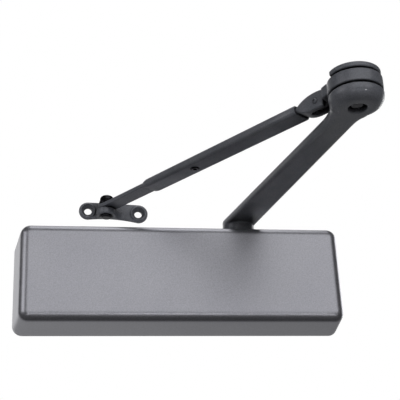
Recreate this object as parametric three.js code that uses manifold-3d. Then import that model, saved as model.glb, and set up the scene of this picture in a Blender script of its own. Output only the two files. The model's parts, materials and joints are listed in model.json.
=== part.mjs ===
// Surface-mounted door closer with a full cover and a regular two-piece arm.
// Millimetres, +X along the door, +Y into the door, +Z up. The origin is the centre of the back
// face that lies on the door. The arm stands out from the door and folds back to the frame shoe.

import * as THREE from 'three';
import { mergeVertices } from 'three/addons/utils/BufferGeometryUtils.js';
import Module from 'manifold-3d';

const wasm = await Module();
wasm.setup();

// ---- Driving dimensions -------------------------------------------------------------------

const GAP = 0.3;

const COVER_LENGTH = 311;
const COVER_HEIGHT = 92;
const COVER_DEPTH = 52;
const COVER_WALL = 2;
const COVER_CORNER = 9.5;
const COVER_FRONT_ROUND = 8.3;
const COVER_END_DRAFT = 7;
const COVER_NOTCH_RADIUS = 19;

const AXIS_Y = -26;
const PINION_X = 58.7;

const CYLINDER_START = -136;
const CYLINDER_END = 126;
const CYLINDER_RADIUS = 23.5;
const BORE_RADIUS = 19;
const BOSS_RADIUS = 21;
const BOSS_HEIGHT = 37;
const BEARING_BORE = 14;
const SLAB_DEPTH = 9;
const LUG_RADIUS = 8.8;
const LUG_HEIGHT = 34;
const LUG_PLACES = [-108, 98];
const DOOR_SCREW_RADIUS = 3.5;

const MODULE = 1.6;
const PINION_TEETH = 12;
const PITCH_RADIUS = (MODULE * PINION_TEETH) / 2;
const TOOTH_ADDENDUM = 1.2;
const TOOTH_DEDENDUM = 1.6;
const PRESSURE_ANGLE = THREE.MathUtils.degToRad(25);
const BACKLASH = 0.5;
const GEAR_HALF_HEIGHT = 17.2;
const JOURNAL_RADIUS = 9.9;
const SQUARE_SIZE = 13;
const SQUARE_START = 41.5;
const SQUARE_END = 60;

const PISTON_STROKE = 28.5;
const PISTON_RADIUS = BORE_RADIUS - GAP;
const PISTON_HEAD = 13.5;

const SPRING_RADIUS = 14.4;
const SPRING_WIRE = 2.9;
const SPRING_TURNS = 12;
const SPRING_SEAT_X = -112;
const SPRING_SEAT_THICKNESS = 7;
const ADJUSTER_RADIUS = 4;

const ARM_LENGTH = 248.2;
const ARM_ANGLE = THREE.MathUtils.degToRad(-79.3);
const ARM_BOTTOM = 56;
const ARM_THICKNESS = 6.6;
const ARM_TOP = ARM_BOTTOM + ARM_THICKNESS;
// The arm thickens toward the elbow: its underside falls by this much.
const ARM_FALL = 2.8;
const ARM_EDGE = 2.6;
const ARM_HUB_HALF_WIDTH = 15.2;
const ARM_ELBOW_HALF_WIDTH = 10.9;
const HUB_RADIUS = 14.9;
const HUB_BOTTOM = 42.6;
const HUB_TOP_ROUND = 6;

const ELBOW_RADIUS = 21.5;
const EYE_BOTTOM = ARM_BOTTOM - ARM_FALL;
const EYE_TOP = 64.9;
const EYE_ROUND = 7.5;
const KNUCKLE_BOTTOM = 66.4;
const KNUCKLE_TOP = 76.8;
const CAP_BOTTOM = 78.6;
const CAP_TOP = 83;
const CAP_RADIUS = 20.8;
const CAP_FLAT = 8.5;
const ELBOW_PIN_RADIUS = 6;
// The rubber washers above and below the knuckle, set back so that a groove shows.
const WASHER_RADIUS = 17;
const BUSHING_WALL = 1.7;

const TILT_PIN_REACH = 34.6;
const TILT_PIN_HEIGHT = 73.1;
const TILT_PIN_RADIUS = 2.4;
const LUG_HALF_THICKNESS = 3;
const LUG_HALF_HEIGHT = 4.6;
const FORK_HALF_WIDTH = 7.3;
// The reach of the fork's rear corners around the tilt pin, with clearance.
const FORK_SWING_RADIUS = 10.5;
const TUBE_START = 20.4;
const TUBE_END = 210.8;
const TUBE_WIDTH = 18.8;
const TUBE_HEIGHT = 8;
const TUBE_WALL = 1.4;
const TUBE_ROUND = 2.8;
const CLAMP_SCREW_REACH = 148;
const CLAMP_SCREW_RADIUS = 3.4;
const ROD_START = 98;
const ROD_WIDTH = 15.2;
const ROD_THICKNESS = 4;
const ROD_EYE_RADIUS = 8.4;

const SHOE_TILT = THREE.MathUtils.degToRad(2.8);
const SHOE_HOLE_SPACING = 49.4;
const SHOE_CENTRE_OFFSET = 7;
const SHOE_HOLE_HEIGHT = -1.6;
const SHOE_LEFT_RADIUS = 8.9;
const SHOE_RIGHT_RADIUS = 9.4;
const SHOE_HOLE_RADIUS = 3.7;
const SHOE_COUNTERSINK_RADIUS = 6.4;
const SHOE_BACK = 11.5;
const SHOE_PLATE_THICKNESS = 4.8;
const SHOE_BACK_STEP = 1.8;
const SHOE_SHELF_RADIUS = 9.5;
const SHOE_SHELF_TOP = -2.8;
const SHOE_SHELF_BOTTOM = -9.2;
const STUD_RADIUS = 4;
const STUD_HOLE_RADIUS = 4.7;

// The stud's place on the door frame settles the forearm's direction, rise and reach.
const STUD_PLACE = new THREE.Vector3(-68, -SHOE_BACK, 80.4);
const ELBOW_PLACE = new THREE.Vector3(
  PINION_X + ARM_LENGTH * Math.cos(ARM_ANGLE),
  AXIS_Y + ARM_LENGTH * Math.sin(ARM_ANGLE),
  TILT_PIN_HEIGHT,
);
const FOREARM_RUN = STUD_PLACE.clone().sub(ELBOW_PLACE);
const FOREARM_LEVEL = Math.hypot(FOREARM_RUN.x, FOREARM_RUN.y) - TILT_PIN_REACH;
const FOREARM_ANGLE = Math.atan2(FOREARM_RUN.y, FOREARM_RUN.x);
const FOREARM_RISE = Math.atan2(FOREARM_RUN.z, FOREARM_LEVEL);
const ROD_REACH = Math.hypot(FOREARM_LEVEL, FOREARM_RUN.z);

// ---- Materials ----------------------------------------------------------------------------

function paint(color, roughness, metalness) {
  return new THREE.MeshStandardMaterial({ color, roughness, metalness });
}

const SILVER_PAINT = () => paint(0x9a9aa6, 0.45, 0.3);
const ARM_PAINT = () => paint(0x4a4b57, 0.5, 0.3);
const CAST_IRON = () => paint(0x5b5d63, 0.7, 0.5);
const STEEL = () => paint(0x8f9196, 0.35, 0.9);
const DARK_STEEL = () => paint(0x33353b, 0.45, 0.7);
const SPRING_STEEL = () => paint(0x3f4146, 0.4, 0.8);
const BRONZE = () => paint(0x9c7a45, 0.4, 0.8);
const BRASS = () => paint(0xb9964f, 0.35, 0.9);
const RUBBER = () => paint(0x1c1c1e, 0.8, 0);

// ---- Solids -------------------------------------------------------------------------------

function solid(geometry) {
  geometry.deleteAttribute('uv');
  geometry.deleteAttribute('normal');
  const merged = mergeVertices(geometry, 1e-5);
  const mesh = new wasm.Mesh({
    numProp: 3,
    vertProperties: new Float32Array(merged.attributes.position.array),
    triVerts: new Uint32Array(merged.index.array),
  });
  return new wasm.Manifold(mesh);
}

function geometryOf(body) {
  const mesh = body.getMesh();
  const geometry = new THREE.BufferGeometry();
  geometry.setAttribute('position', new THREE.BufferAttribute(mesh.vertProperties, mesh.numProp));
  geometry.setIndex(new THREE.BufferAttribute(mesh.triVerts, 1));
  geometry.computeVertexNormals();
  return geometry;
}

function addPart(parent, name, body, material) {
  const mesh = new THREE.Mesh(geometryOf(body), material);
  mesh.name = name;
  parent.add(mesh);
  return mesh;
}

function joined(bodies) {
  return bodies.reduce((whole, next) => whole.add(next));
}

// A block given by its lowest and highest corners.
function block(x0, y0, z0, x1, y1, z1) {
  const geometry = new THREE.BoxGeometry(x1 - x0, y1 - y0, z1 - z0);
  geometry.translate((x0 + x1) / 2, (y0 + y1) / 2, (z0 + z1) / 2);
  return solid(geometry);
}

// A solid of revolution about +Z, from [radius, height] pairs going round the half section.
function turned(profile, segments) {
  const points = profile.map(([radius, height]) => new THREE.Vector2(radius, height));
  const geometry = new THREE.LatheGeometry(points, segments);
  geometry.rotateX(Math.PI / 2);
  return solid(geometry);
}

function disc(radius, bottom, top, segments = 24) {
  return turned([[0, bottom], [radius, bottom], [radius, top], [0, top]], segments);
}

function ring(inner, outer, bottom, top, segments = 24) {
  const profile = [[inner, bottom], [outer, bottom], [outer, top], [inner, top], [inner, bottom]];
  return turned(profile, segments);
}

// A disc whose outer edges are chamfered.
function chamferedDisc(radius, bottom, top, chamfer, segments = 24) {
  const profile = [
    [0, bottom],
    [radius - chamfer, bottom],
    [radius, bottom + chamfer],
    [radius, top - chamfer],
    [radius - chamfer, top],
    [0, top],
  ];
  return turned(profile, segments);
}

// Bodies built about +Z are laid over so that their axis runs along +X or +Y.
function alongX(body) {
  return body.rotate([0, 90, 0]);
}

function alongY(body) {
  return body.rotate([-90, 0, 0]);
}

function hexagon(acrossFlats, bottom, top) {
  return turned(
    [[0, bottom], [acrossFlats / Math.sqrt(3), bottom], [acrossFlats / Math.sqrt(3), top], [0, top]],
    6,
  );
}

function roundedRectangle(width, height, radius) {
  const shape = new THREE.Shape();
  const x = width / 2;
  const y = height / 2;
  shape.moveTo(-x + radius, -y);
  shape.lineTo(x - radius, -y);
  shape.absarc(x - radius, -y + radius, radius, -Math.PI / 2, 0);
  shape.lineTo(x, y - radius);
  shape.absarc(x - radius, y - radius, radius, 0, Math.PI / 2);
  shape.lineTo(-x + radius, y);
  shape.absarc(-x + radius, y - radius, radius, Math.PI / 2, Math.PI);
  shape.lineTo(-x, -y + radius);
  shape.absarc(-x + radius, -y + radius, radius, Math.PI, (3 * Math.PI) / 2);
  return shape;
}

// An outline in X and Y raised from bottom to top, its edges rounded inward by edge.
function raised(shape, bottom, top, edge = 0, curveSegments = 8, edgeSegments = 2) {
  const geometry = new THREE.ExtrudeGeometry(shape, {
    depth: top - bottom - 2 * edge,
    steps: 1,
    curveSegments,
    bevelEnabled: edge > 0,
    bevelThickness: edge,
    bevelSize: edge,
    bevelOffset: -edge,
    bevelSegments: edgeSegments,
  });
  geometry.translate(0, 0, bottom + edge);
  return solid(geometry);
}

// ---- Cover --------------------------------------------------------------------------------

// The cover's outer form, or the hollow inside it when inset is the wall thickness. The ends
// lean inward from the back to the front, and the front edge is rounded.
function coverForm(inset) {
  const behind = COVER_FRONT_ROUND + 2;
  const outline = roundedRectangle(
    COVER_LENGTH - 2 * inset,
    COVER_HEIGHT - 2 * inset,
    COVER_CORNER - inset,
  );
  const edge = COVER_FRONT_ROUND - inset;
  const form = raised(outline, -behind, COVER_DEPTH - inset, edge, 4, 4);
  const halfLength = COVER_LENGTH / 2;
  const leaned = form.warp((point) => {
    const lean = (COVER_END_DRAFT * point[2]) / COVER_DEPTH;
    point[0] *= (halfLength - lean) / halfLength;
  });
  return leaned.rotate([90, 0, 0]);
}

function cover() {
  const openBack = block(-COVER_LENGTH, 0, -COVER_HEIGHT, COVER_LENGTH, COVER_DEPTH, COVER_HEIGHT);
  const notch = joined([
    disc(COVER_NOTCH_RADIUS, 0, COVER_HEIGHT).translate([PINION_X, AXIS_Y, 0]),
    block(
      PINION_X - COVER_NOTCH_RADIUS,
      AXIS_Y,
      0,
      PINION_X + COVER_NOTCH_RADIUS,
      COVER_DEPTH,
      COVER_HEIGHT,
    ),
  ]);
  return coverForm(0).subtract(coverForm(COVER_WALL)).subtract(openBack).subtract(notch);
}

// A bent strip that stands on the slab and presses the cover's inner face, upward or downward.
function coverClip(x, side) {
  const reach = COVER_HEIGHT / 2 - COVER_WALL - GAP;
  const slabTop = 24 + GAP;
  const strip = joined([
    block(x - 8, -7, slabTop, x + 8, -5.5, reach),
    block(x - 8, -20, reach - 1.5, x + 8, -5.5, reach),
    block(x - 8, -7, slabTop, x + 8, -1, slabTop + 1.5),
  ]);
  return side > 0 ? strip : strip.mirror([0, 0, 1]);
}

// ---- Hydraulic body -----------------------------------------------------------------------

const VALVES = [
  { name: 'sweep_valve', x: 92 },
  { name: 'latch_valve', x: 104 },
  { name: 'backcheck_valve', x: 116 },
];
const VALVE_Y = -30;
const VALVE_BLOCK_BOTTOM = -33;
const VALVE_RADIUS = 3.9;

function mountingLug(x, side) {
  const z0 = Math.min(side * LUG_HEIGHT, side * 15);
  const z1 = Math.max(side * LUG_HEIGHT, side * 15);
  const eye = alongY(disc(LUG_RADIUS, -SLAB_DEPTH, 0, 20)).translate([x, 0, side * LUG_HEIGHT]);
  return eye.add(block(x - LUG_RADIUS, -SLAB_DEPTH, z0, x + LUG_RADIUS, 0, z1));
}

function closerBody() {
  const cylinder = alongX(disc(CYLINDER_RADIUS, CYLINDER_START, CYLINDER_END, 32));
  const bore = alongX(disc(BORE_RADIUS, CYLINDER_START - 1, CYLINDER_END + 1, 32));
  const solids = [
    cylinder.translate([0, AXIS_Y, 0]),
    disc(BOSS_RADIUS, -BOSS_HEIGHT + 1, BOSS_HEIGHT, 28).translate([PINION_X, AXIS_Y, 0]),
    block(CYLINDER_START + 6, -SLAB_DEPTH, -24, CYLINDER_END - 6, 0, 24),
    block(84, -42, VALVE_BLOCK_BOTTOM, 124, -14, -12),
  ];
  const cuts = [
    bore.translate([0, AXIS_Y, 0]),
    disc(BEARING_BORE, 18.5, BOSS_HEIGHT + 1).translate([PINION_X, AXIS_Y, 0]),
    disc(BEARING_BORE, -BOSS_HEIGHT - 1, -18.5).translate([PINION_X, AXIS_Y, 0]),
    disc(12.4, -20, 20).translate([PINION_X, AXIS_Y, 0]),
  ];
  for (const x of LUG_PLACES) {
    for (const side of [-1, 1]) {
      const screwHole = alongY(disc(DOOR_SCREW_RADIUS, -SLAB_DEPTH - 1, 1, 12));
      solids.push(mountingLug(x, side));
      cuts.push(screwHole.translate([x, 0, side * LUG_HEIGHT]));
    }
  }
  for (const { x } of VALVES) {
    const hole = disc(VALVE_RADIUS + GAP, VALVE_BLOCK_BOTTOM - 1, -23, 16);
    cuts.push(hole.translate([x, VALVE_Y, 0]));
  }
  return joined(solids).subtract(joined(cuts));
}

// The screwed plug that closes one end of the cylinder, built outward along +Z with its flange
// face at zero, a seal groove on its neck and a cross-slot or a centre hole.
const PLUG_NECK = 12;
const PLUG_GROOVE_RADIUS = 16.4;

function endPlug(holeRadius) {
  const neck = PISTON_RADIUS;
  const plug = turned(
    [
      [0, -PLUG_NECK],
      [neck, -PLUG_NECK],
      [neck, -8.6],
      [PLUG_GROOVE_RADIUS, -8.6],
      [PLUG_GROOVE_RADIUS, -5.4],
      [neck, -5.4],
      [neck, GAP],
      [22.5, GAP],
      [22.5, 3.5],
      [21.5, 4.5],
      [0, 4.5],
    ],
    24,
  );
  if (holeRadius > 0) {
    return plug.subtract(disc(holeRadius, -PLUG_NECK - 1, 6, 16));
  }
  return plug.subtract(hexagon(14, -4, 6));
}

function plugSeal() {
  return ring(PLUG_GROOVE_RADIUS + GAP, PISTON_RADIUS - 0.1, -8.3, -5.7, 24);
}

// ---- Pinion, bearings and piston ----------------------------------------------------------

// One flank of an involute tooth, as [radius, angle from the tooth's centre line].
function involuteFlank(steps) {
  const base = PITCH_RADIUS * Math.cos(PRESSURE_ANGLE);
  const involute = (radius) => {
    const roll = Math.acos(Math.min(base / radius, 1));
    return Math.tan(roll) - roll;
  };
  const halfTooth = (Math.PI / PINION_TEETH - BACKLASH / PITCH_RADIUS) / 2;
  const start = Math.max(base, PITCH_RADIUS - TOOTH_DEDENDUM);
  const flank = [];
  for (let i = 0; i <= steps; i += 1) {
    const radius = start + ((PITCH_RADIUS + TOOTH_ADDENDUM - start) * i) / steps;
    flank.push([radius, halfTooth + involute(PITCH_RADIUS) - involute(radius)]);
  }
  return flank;
}

function pinionGear() {
  const root = PITCH_RADIUS - TOOTH_DEDENDUM;
  const flank = involuteFlank(2);
  const shape = new THREE.Shape();
  const spot = (radius, angle) => [radius * Math.cos(angle), radius * Math.sin(angle)];
  for (let tooth = 0; tooth < PINION_TEETH; tooth += 1) {
    const centre = Math.PI / 2 + (tooth * 2 * Math.PI) / PINION_TEETH;
    const rise = flank.map(([radius, angle]) => spot(radius, centre - angle));
    const fall = flank.map(([radius, angle]) => spot(radius, centre + angle)).reverse();
    const foot = flank[0][1];
    const outline = [spot(root, centre - foot), ...rise, ...fall, spot(root, centre + foot)];
    for (const [x, y] of outline) {
      if (tooth === 0 && x === outline[0][0]) {
        shape.moveTo(x, y);
      } else {
        shape.lineTo(x, y);
      }
    }
  }
  return raised(shape, -GEAR_HALF_HEIGHT, GEAR_HALF_HEIGHT);
}

// The square end is turned to the arm that it carries; a gear tooth points at the rack.
function pinion() {
  const half = SQUARE_SIZE / 2;
  const square = block(-half, -half, SQUARE_START, half, half, SQUARE_END);
  const shaft = joined([
    pinionGear(),
    disc(JOURNAL_RADIUS, GEAR_HALF_HEIGHT, SQUARE_START),
    disc(JOURNAL_RADIUS, -BOSS_HEIGHT - 1, -GEAR_HALF_HEIGHT),
    square.rotate([0, 0, THREE.MathUtils.radToDeg(ARM_ANGLE)]),
  ]);
  return shaft.subtract(disc(4 + GAP, SQUARE_END - 14, SQUARE_END + 1, 16));
}

function piston() {
  const windowStart = PINION_X - 13;
  const windowEnd = PINION_X + 13 + PISTON_STROKE;
  const start = windowStart - PISTON_HEAD;
  const end = windowEnd + PISTON_HEAD;
  const pitchLine = AXIS_Y + PITCH_RADIUS;
  const tips = pitchLine - TOOTH_ADDENDUM;
  const roots = pitchLine + TOOTH_DEDENDUM;
  const toothPitch = Math.PI * MODULE;
  const halfGap = toothPitch / 4 + BACKLASH / 2;
  const lean = Math.tan(PRESSURE_ANGLE);

  const cuts = [block(windowStart, AXIS_Y - 12.4, -BORE_RADIUS, windowEnd, tips, BORE_RADIUS)];
  const firstGap = -Math.floor((PINION_X - windowStart - 3) / toothPitch);
  const lastGap = Math.floor((windowEnd - PINION_X - 3) / toothPitch);
  for (let i = firstGap; i <= lastGap; i += 1) {
    const x = PINION_X + i * toothPitch;
    const mouth = halfGap + (TOOTH_ADDENDUM + 0.2) * lean;
    const floor = halfGap - TOOTH_DEDENDUM * lean;
    const gap = new THREE.Shape();
    gap.moveTo(x - mouth, tips - 0.2);
    gap.lineTo(x + mouth, tips - 0.2);
    gap.lineTo(x + floor, roots);
    gap.lineTo(x - floor, roots);
    cuts.push(raised(gap, -BORE_RADIUS, BORE_RADIUS));
  }
  const ballSeat = alongX(disc(CHECK_BALL_RADIUS + GAP, windowEnd + 5, end + 1, 16));
  const ballPort = alongX(disc(1.2, windowEnd - 1, windowEnd + 6, 8));
  cuts.push(ballSeat.translate([0, AXIS_Y, 0]));
  cuts.push(ballPort.translate([0, AXIS_Y, 0]));
  const barrel = alongX(chamferedDisc(PISTON_RADIUS, start, end, 1, 32));
  return barrel.translate([0, AXIS_Y, 0]).subtract(joined(cuts));
}

const CHECK_BALL_RADIUS = 2.6;
const CHECK_SEAT_X = PINION_X + 13 + PISTON_STROKE + 5;

function checkBall() {
  const ball = solid(new THREE.SphereGeometry(CHECK_BALL_RADIUS, 10, 8));
  return ball.translate([CHECK_SEAT_X + CHECK_BALL_RADIUS + GAP, AXIS_Y, 0]);
}

function checkBallRetainer() {
  const start = CHECK_SEAT_X + 2 * CHECK_BALL_RADIUS + 1.4;
  return alongX(ring(1.2, CHECK_BALL_RADIUS, start, start + 1.6, 16)).translate([0, AXIS_Y, 0]);
}

const BEARING_START = 18.9;
const BEARING_END = 28.7;
const SEAL_END = 32.4;

function bearing() {
  return ring(JOURNAL_RADIUS + GAP, BEARING_BORE - GAP, BEARING_START, BEARING_END);
}

function shaftSeal() {
  return ring(JOURNAL_RADIUS + 0.1, BEARING_BORE - GAP, BEARING_END + GAP, SEAL_END);
}

// The nut that holds the bearing and the seal down, with six spanner notches in its flange.
function bearingNut() {
  const inner = JOURNAL_RADIUS + GAP;
  const flangeBottom = BOSS_HEIGHT + GAP;
  const nut = turned(
    [
      [inner, SEAL_END + GAP],
      [BEARING_BORE - GAP, SEAL_END + GAP],
      [BEARING_BORE - GAP, flangeBottom],
      [17.5, flangeBottom],
      [17.5, flangeBottom + 3.4],
      [16.5, flangeBottom + 4.2],
      [inner, flangeBottom + 4.2],
      [inner, SEAL_END + GAP],
    ],
    24,
  );
  const notches = [];
  for (let i = 0; i < 6; i += 1) {
    const notch = block(15.2, -1.8, flangeBottom - 1, 19, 1.8, flangeBottom + 6);
    notches.push(notch.rotate([0, 0, i * 60]));
  }
  return nut.subtract(joined(notches));
}

// ---- Spring pack --------------------------------------------------------------------------

const SPRING_START = SPRING_SEAT_X + SPRING_SEAT_THICKNESS + GAP;
const SPRING_END = PINION_X - 13 - PISTON_HEAD - GAP;

// A compression spring's centre line: the first and last turns lie close, the rest open.
class SpringLine extends THREE.Curve {
  getPoint(t, target = new THREE.Vector3()) {
    const turn = t * SPRING_TURNS;
    const closePitch = 2 * SPRING_WIRE + 2 * GAP;
    const length = SPRING_END - SPRING_START - 2 * SPRING_WIRE;
    const openPitch = (length - 2 * closePitch) / (SPRING_TURNS - 2);
    const closeTurns = Math.min(turn, 1) + Math.max(turn - SPRING_TURNS + 1, 0);
    const x = closeTurns * closePitch + (turn - closeTurns) * openPitch;
    const angle = 2 * Math.PI * turn;
    return target.set(
      SPRING_START + SPRING_WIRE + x,
      AXIS_Y + SPRING_RADIUS * Math.cos(angle),
      SPRING_RADIUS * Math.sin(angle),
    );
  }
}

function mainSpring() {
  const wire = new THREE.Shape();
  wire.absarc(0, 0, SPRING_WIRE, 0, 2 * Math.PI);
  const geometry = new THREE.ExtrudeGeometry(wire, {
    steps: SPRING_TURNS * 10,
    curveSegments: 3,
    bevelEnabled: false,
    extrudePath: new SpringLine(),
  });
  return solid(geometry);
}

function springSeat() {
  const seat = turned(
    [
      [ADJUSTER_RADIUS + GAP, 0],
      [PISTON_RADIUS - GAP, 0],
      [PISTON_RADIUS - GAP, SPRING_SEAT_THICKNESS],
      [10.5, SPRING_SEAT_THICKNESS],
      [9.5, SPRING_SEAT_THICKNESS + 8],
      [ADJUSTER_RADIUS + GAP, SPRING_SEAT_THICKNESS + 8],
      [ADJUSTER_RADIUS + GAP, 0],
    ],
    20,
  );
  return alongX(seat).translate([SPRING_SEAT_X, AXIS_Y, 0]);
}

// The adjusting screw turns in the plug: its collar bears inside, its socket head shows outside.
function adjustingScrew() {
  const collar = CYLINDER_START + PLUG_NECK + GAP;
  const headStart = CYLINDER_START - 4.5 - GAP;
  const screw = joined([
    disc(ADJUSTER_RADIUS, headStart - 1, SPRING_SEAT_X + 50, 16),
    disc(9, collar, collar + 4, 20),
    chamferedDisc(6.2, headStart - 5, headStart, 0.8, 20),
  ]);
  const socket = hexagon(6, headStart - 6, headStart - 1.5);
  return alongX(screw.subtract(socket)).translate([0, AXIS_Y, 0]);
}

// ---- Regulating valves --------------------------------------------------------------------

function valveScrew() {
  const bottom = VALVE_BLOCK_BOTTOM - 1;
  const screw = turned(
    [
      [0, bottom],
      [VALVE_RADIUS - 0.6, bottom],
      [VALVE_RADIUS, bottom + 0.6],
      [VALVE_RADIUS, bottom + 3.2],
      [VALVE_RADIUS - 1.3, bottom + 3.2],
      [VALVE_RADIUS - 1.3, bottom + 5.4],
      [VALVE_RADIUS, bottom + 5.4],
      [VALVE_RADIUS, bottom + 8],
      [0.8, bottom + 10.4],
      [0, bottom + 10.4],
    ],
    12,
  );
  return screw.subtract(block(-5, -0.6, bottom - 1, 5, 0.6, bottom + 1.4));
}

function valveSeal() {
  const bottom = VALVE_BLOCK_BOTTOM - 1;
  return ring(VALVE_RADIUS - 1.1, VALVE_RADIUS, bottom + 3.5, bottom + 5.1, 12);
}

// ---- Main arm, in a frame with +X along the arm and the pinion axis at the origin ---------

function armOutline() {
  const neckStart = ARM_LENGTH - 40;
  const neckAngle = THREE.MathUtils.degToRad(128);
  const neckX = ARM_LENGTH + ELBOW_RADIUS * Math.cos(neckAngle);
  const neckY = ELBOW_RADIUS * Math.sin(neckAngle);
  const shape = new THREE.Shape();
  shape.moveTo(0, -ARM_HUB_HALF_WIDTH);
  shape.lineTo(neckStart, -ARM_ELBOW_HALF_WIDTH);
  shape.quadraticCurveTo(neckStart + 19, -ARM_ELBOW_HALF_WIDTH, neckX, -neckY);
  shape.lineTo(ARM_LENGTH - 6, -6);
  shape.lineTo(ARM_LENGTH - 6, 6);
  shape.lineTo(neckX, neckY);
  shape.quadraticCurveTo(neckStart + 19, ARM_ELBOW_HALF_WIDTH, neckStart, ARM_ELBOW_HALF_WIDTH);
  shape.lineTo(0, ARM_HUB_HALF_WIDTH);
  shape.absarc(0, 0, ARM_HUB_HALF_WIDTH, Math.PI / 2, (3 * Math.PI) / 2);
  return shape;
}

// The eye's lower edge is a generous quarter round, its upper edge a small chamfer.
function armEye() {
  const profile = [[0, EYE_BOTTOM]];
  const steps = 4;
  for (let i = 0; i <= steps; i += 1) {
    const angle = (i * Math.PI) / 2 / steps;
    profile.push([
      ELBOW_RADIUS - EYE_ROUND + EYE_ROUND * Math.sin(angle),
      EYE_BOTTOM + EYE_ROUND - EYE_ROUND * Math.cos(angle),
    ]);
  }
  profile.push([ELBOW_RADIUS, EYE_TOP - 0.8]);
  profile.push([ELBOW_RADIUS - 0.8, EYE_TOP]);
  profile.push([0, EYE_TOP]);
  return turned(profile, 36);
}

// The hub hangs below the arm, and its upper edge is rounded.
function armHub() {
  const profile = [[0, HUB_BOTTOM], [HUB_RADIUS - 1, HUB_BOTTOM], [HUB_RADIUS, HUB_BOTTOM + 1]];
  const steps = 4;
  for (let i = 0; i <= steps; i += 1) {
    const angle = (i * Math.PI) / 2 / steps;
    profile.push([
      HUB_RADIUS - HUB_TOP_ROUND + HUB_TOP_ROUND * Math.cos(angle),
      ARM_TOP - HUB_TOP_ROUND + HUB_TOP_ROUND * Math.sin(angle),
    ]);
  }
  profile.push([0, ARM_TOP]);
  return turned(profile, 32);
}

function mainArm() {
  const bar = raised(armOutline(), ARM_BOTTOM, ARM_TOP, ARM_EDGE, 8, 2).warp((point) => {
    const below = point[2] < ARM_BOTTOM + ARM_THICKNESS / 2;
    point[2] -= below ? (ARM_FALL * point[0]) / ARM_LENGTH : 0;
  });
  const solids = [
    bar,
    armHub(),
    armEye().translate([ARM_LENGTH, 0, 0]),
  ];
  const socket = SQUARE_SIZE / 2 + GAP;
  const headRecess = turned(
    [[0, EYE_BOTTOM - 1], [7.6, EYE_BOTTOM - 1], [7.1, 55], [7.1, 60.8], [0, 60.8]],
    24,
  );
  const cuts = [
    block(-socket, -socket, HUB_BOTTOM - 1, socket, socket, SQUARE_END + GAP),
    disc(4.6, SQUARE_END, ARM_TOP + 1, 20),
    headRecess.translate([ARM_LENGTH, 0, 0]),
    disc(ELBOW_PIN_RADIUS + GAP, 60, EYE_TOP + 1).translate([ARM_LENGTH, 0, 0]),
  ];
  return joined(solids).subtract(joined(cuts));
}

const ARM_WASHER_THICKNESS = 1.2;

function armWasher() {
  return ring(4.6, 8.4, ARM_TOP + GAP, ARM_TOP + GAP + ARM_WASHER_THICKNESS, 20);
}

function armScrew() {
  const seat = ARM_TOP + 2 * GAP + ARM_WASHER_THICKNESS;
  return hexagon(12, seat, seat + 3).add(disc(4, SQUARE_END - 12, seat + 1, 16));
}

function elbowPin() {
  const head = turned(
    [[0, 55.6], [5, 55.8], [6.4, 56.5], [6.7, 57.2], [6.7, 60.5], [0, 60.5]],
    24,
  );
  return head.add(disc(ELBOW_PIN_RADIUS, 60, CAP_TOP + 5));
}

// The cap and the washer under it are cut off flat towards the forearm, which can then rise.
function clearOfForearm(body) {
  return body.subtract(block(CAP_FLAT, -30, KNUCKLE_TOP, 30, 30, CAP_TOP + 1));
}

function elbowCap() {
  const cap = turned(
    [
      [ELBOW_PIN_RADIUS + GAP, CAP_BOTTOM],
      [CAP_RADIUS - 0.6, CAP_BOTTOM],
      [CAP_RADIUS, CAP_BOTTOM + 0.6],
      [CAP_RADIUS, CAP_TOP - 1.2],
      [CAP_RADIUS - 1.2, CAP_TOP],
      [ELBOW_PIN_RADIUS + GAP, CAP_TOP],
      [ELBOW_PIN_RADIUS + GAP, CAP_BOTTOM],
    ],
    36,
  );
  return clearOfForearm(cap);
}

function upperElbowWasher() {
  const washer = ring(ELBOW_PIN_RADIUS + GAP, WASHER_RADIUS, KNUCKLE_TOP + GAP, CAP_BOTTOM - GAP, 32);
  return clearOfForearm(washer);
}

function elbowNut() {
  const bottom = CAP_TOP + GAP;
  return hexagon(19, bottom, bottom + 4).subtract(
    disc(ELBOW_PIN_RADIUS + GAP, bottom - 1, bottom + 5),
  );
}

// ---- Knuckle, in a frame with +X along the forearm and the elbow axis at the origin -------

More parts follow.
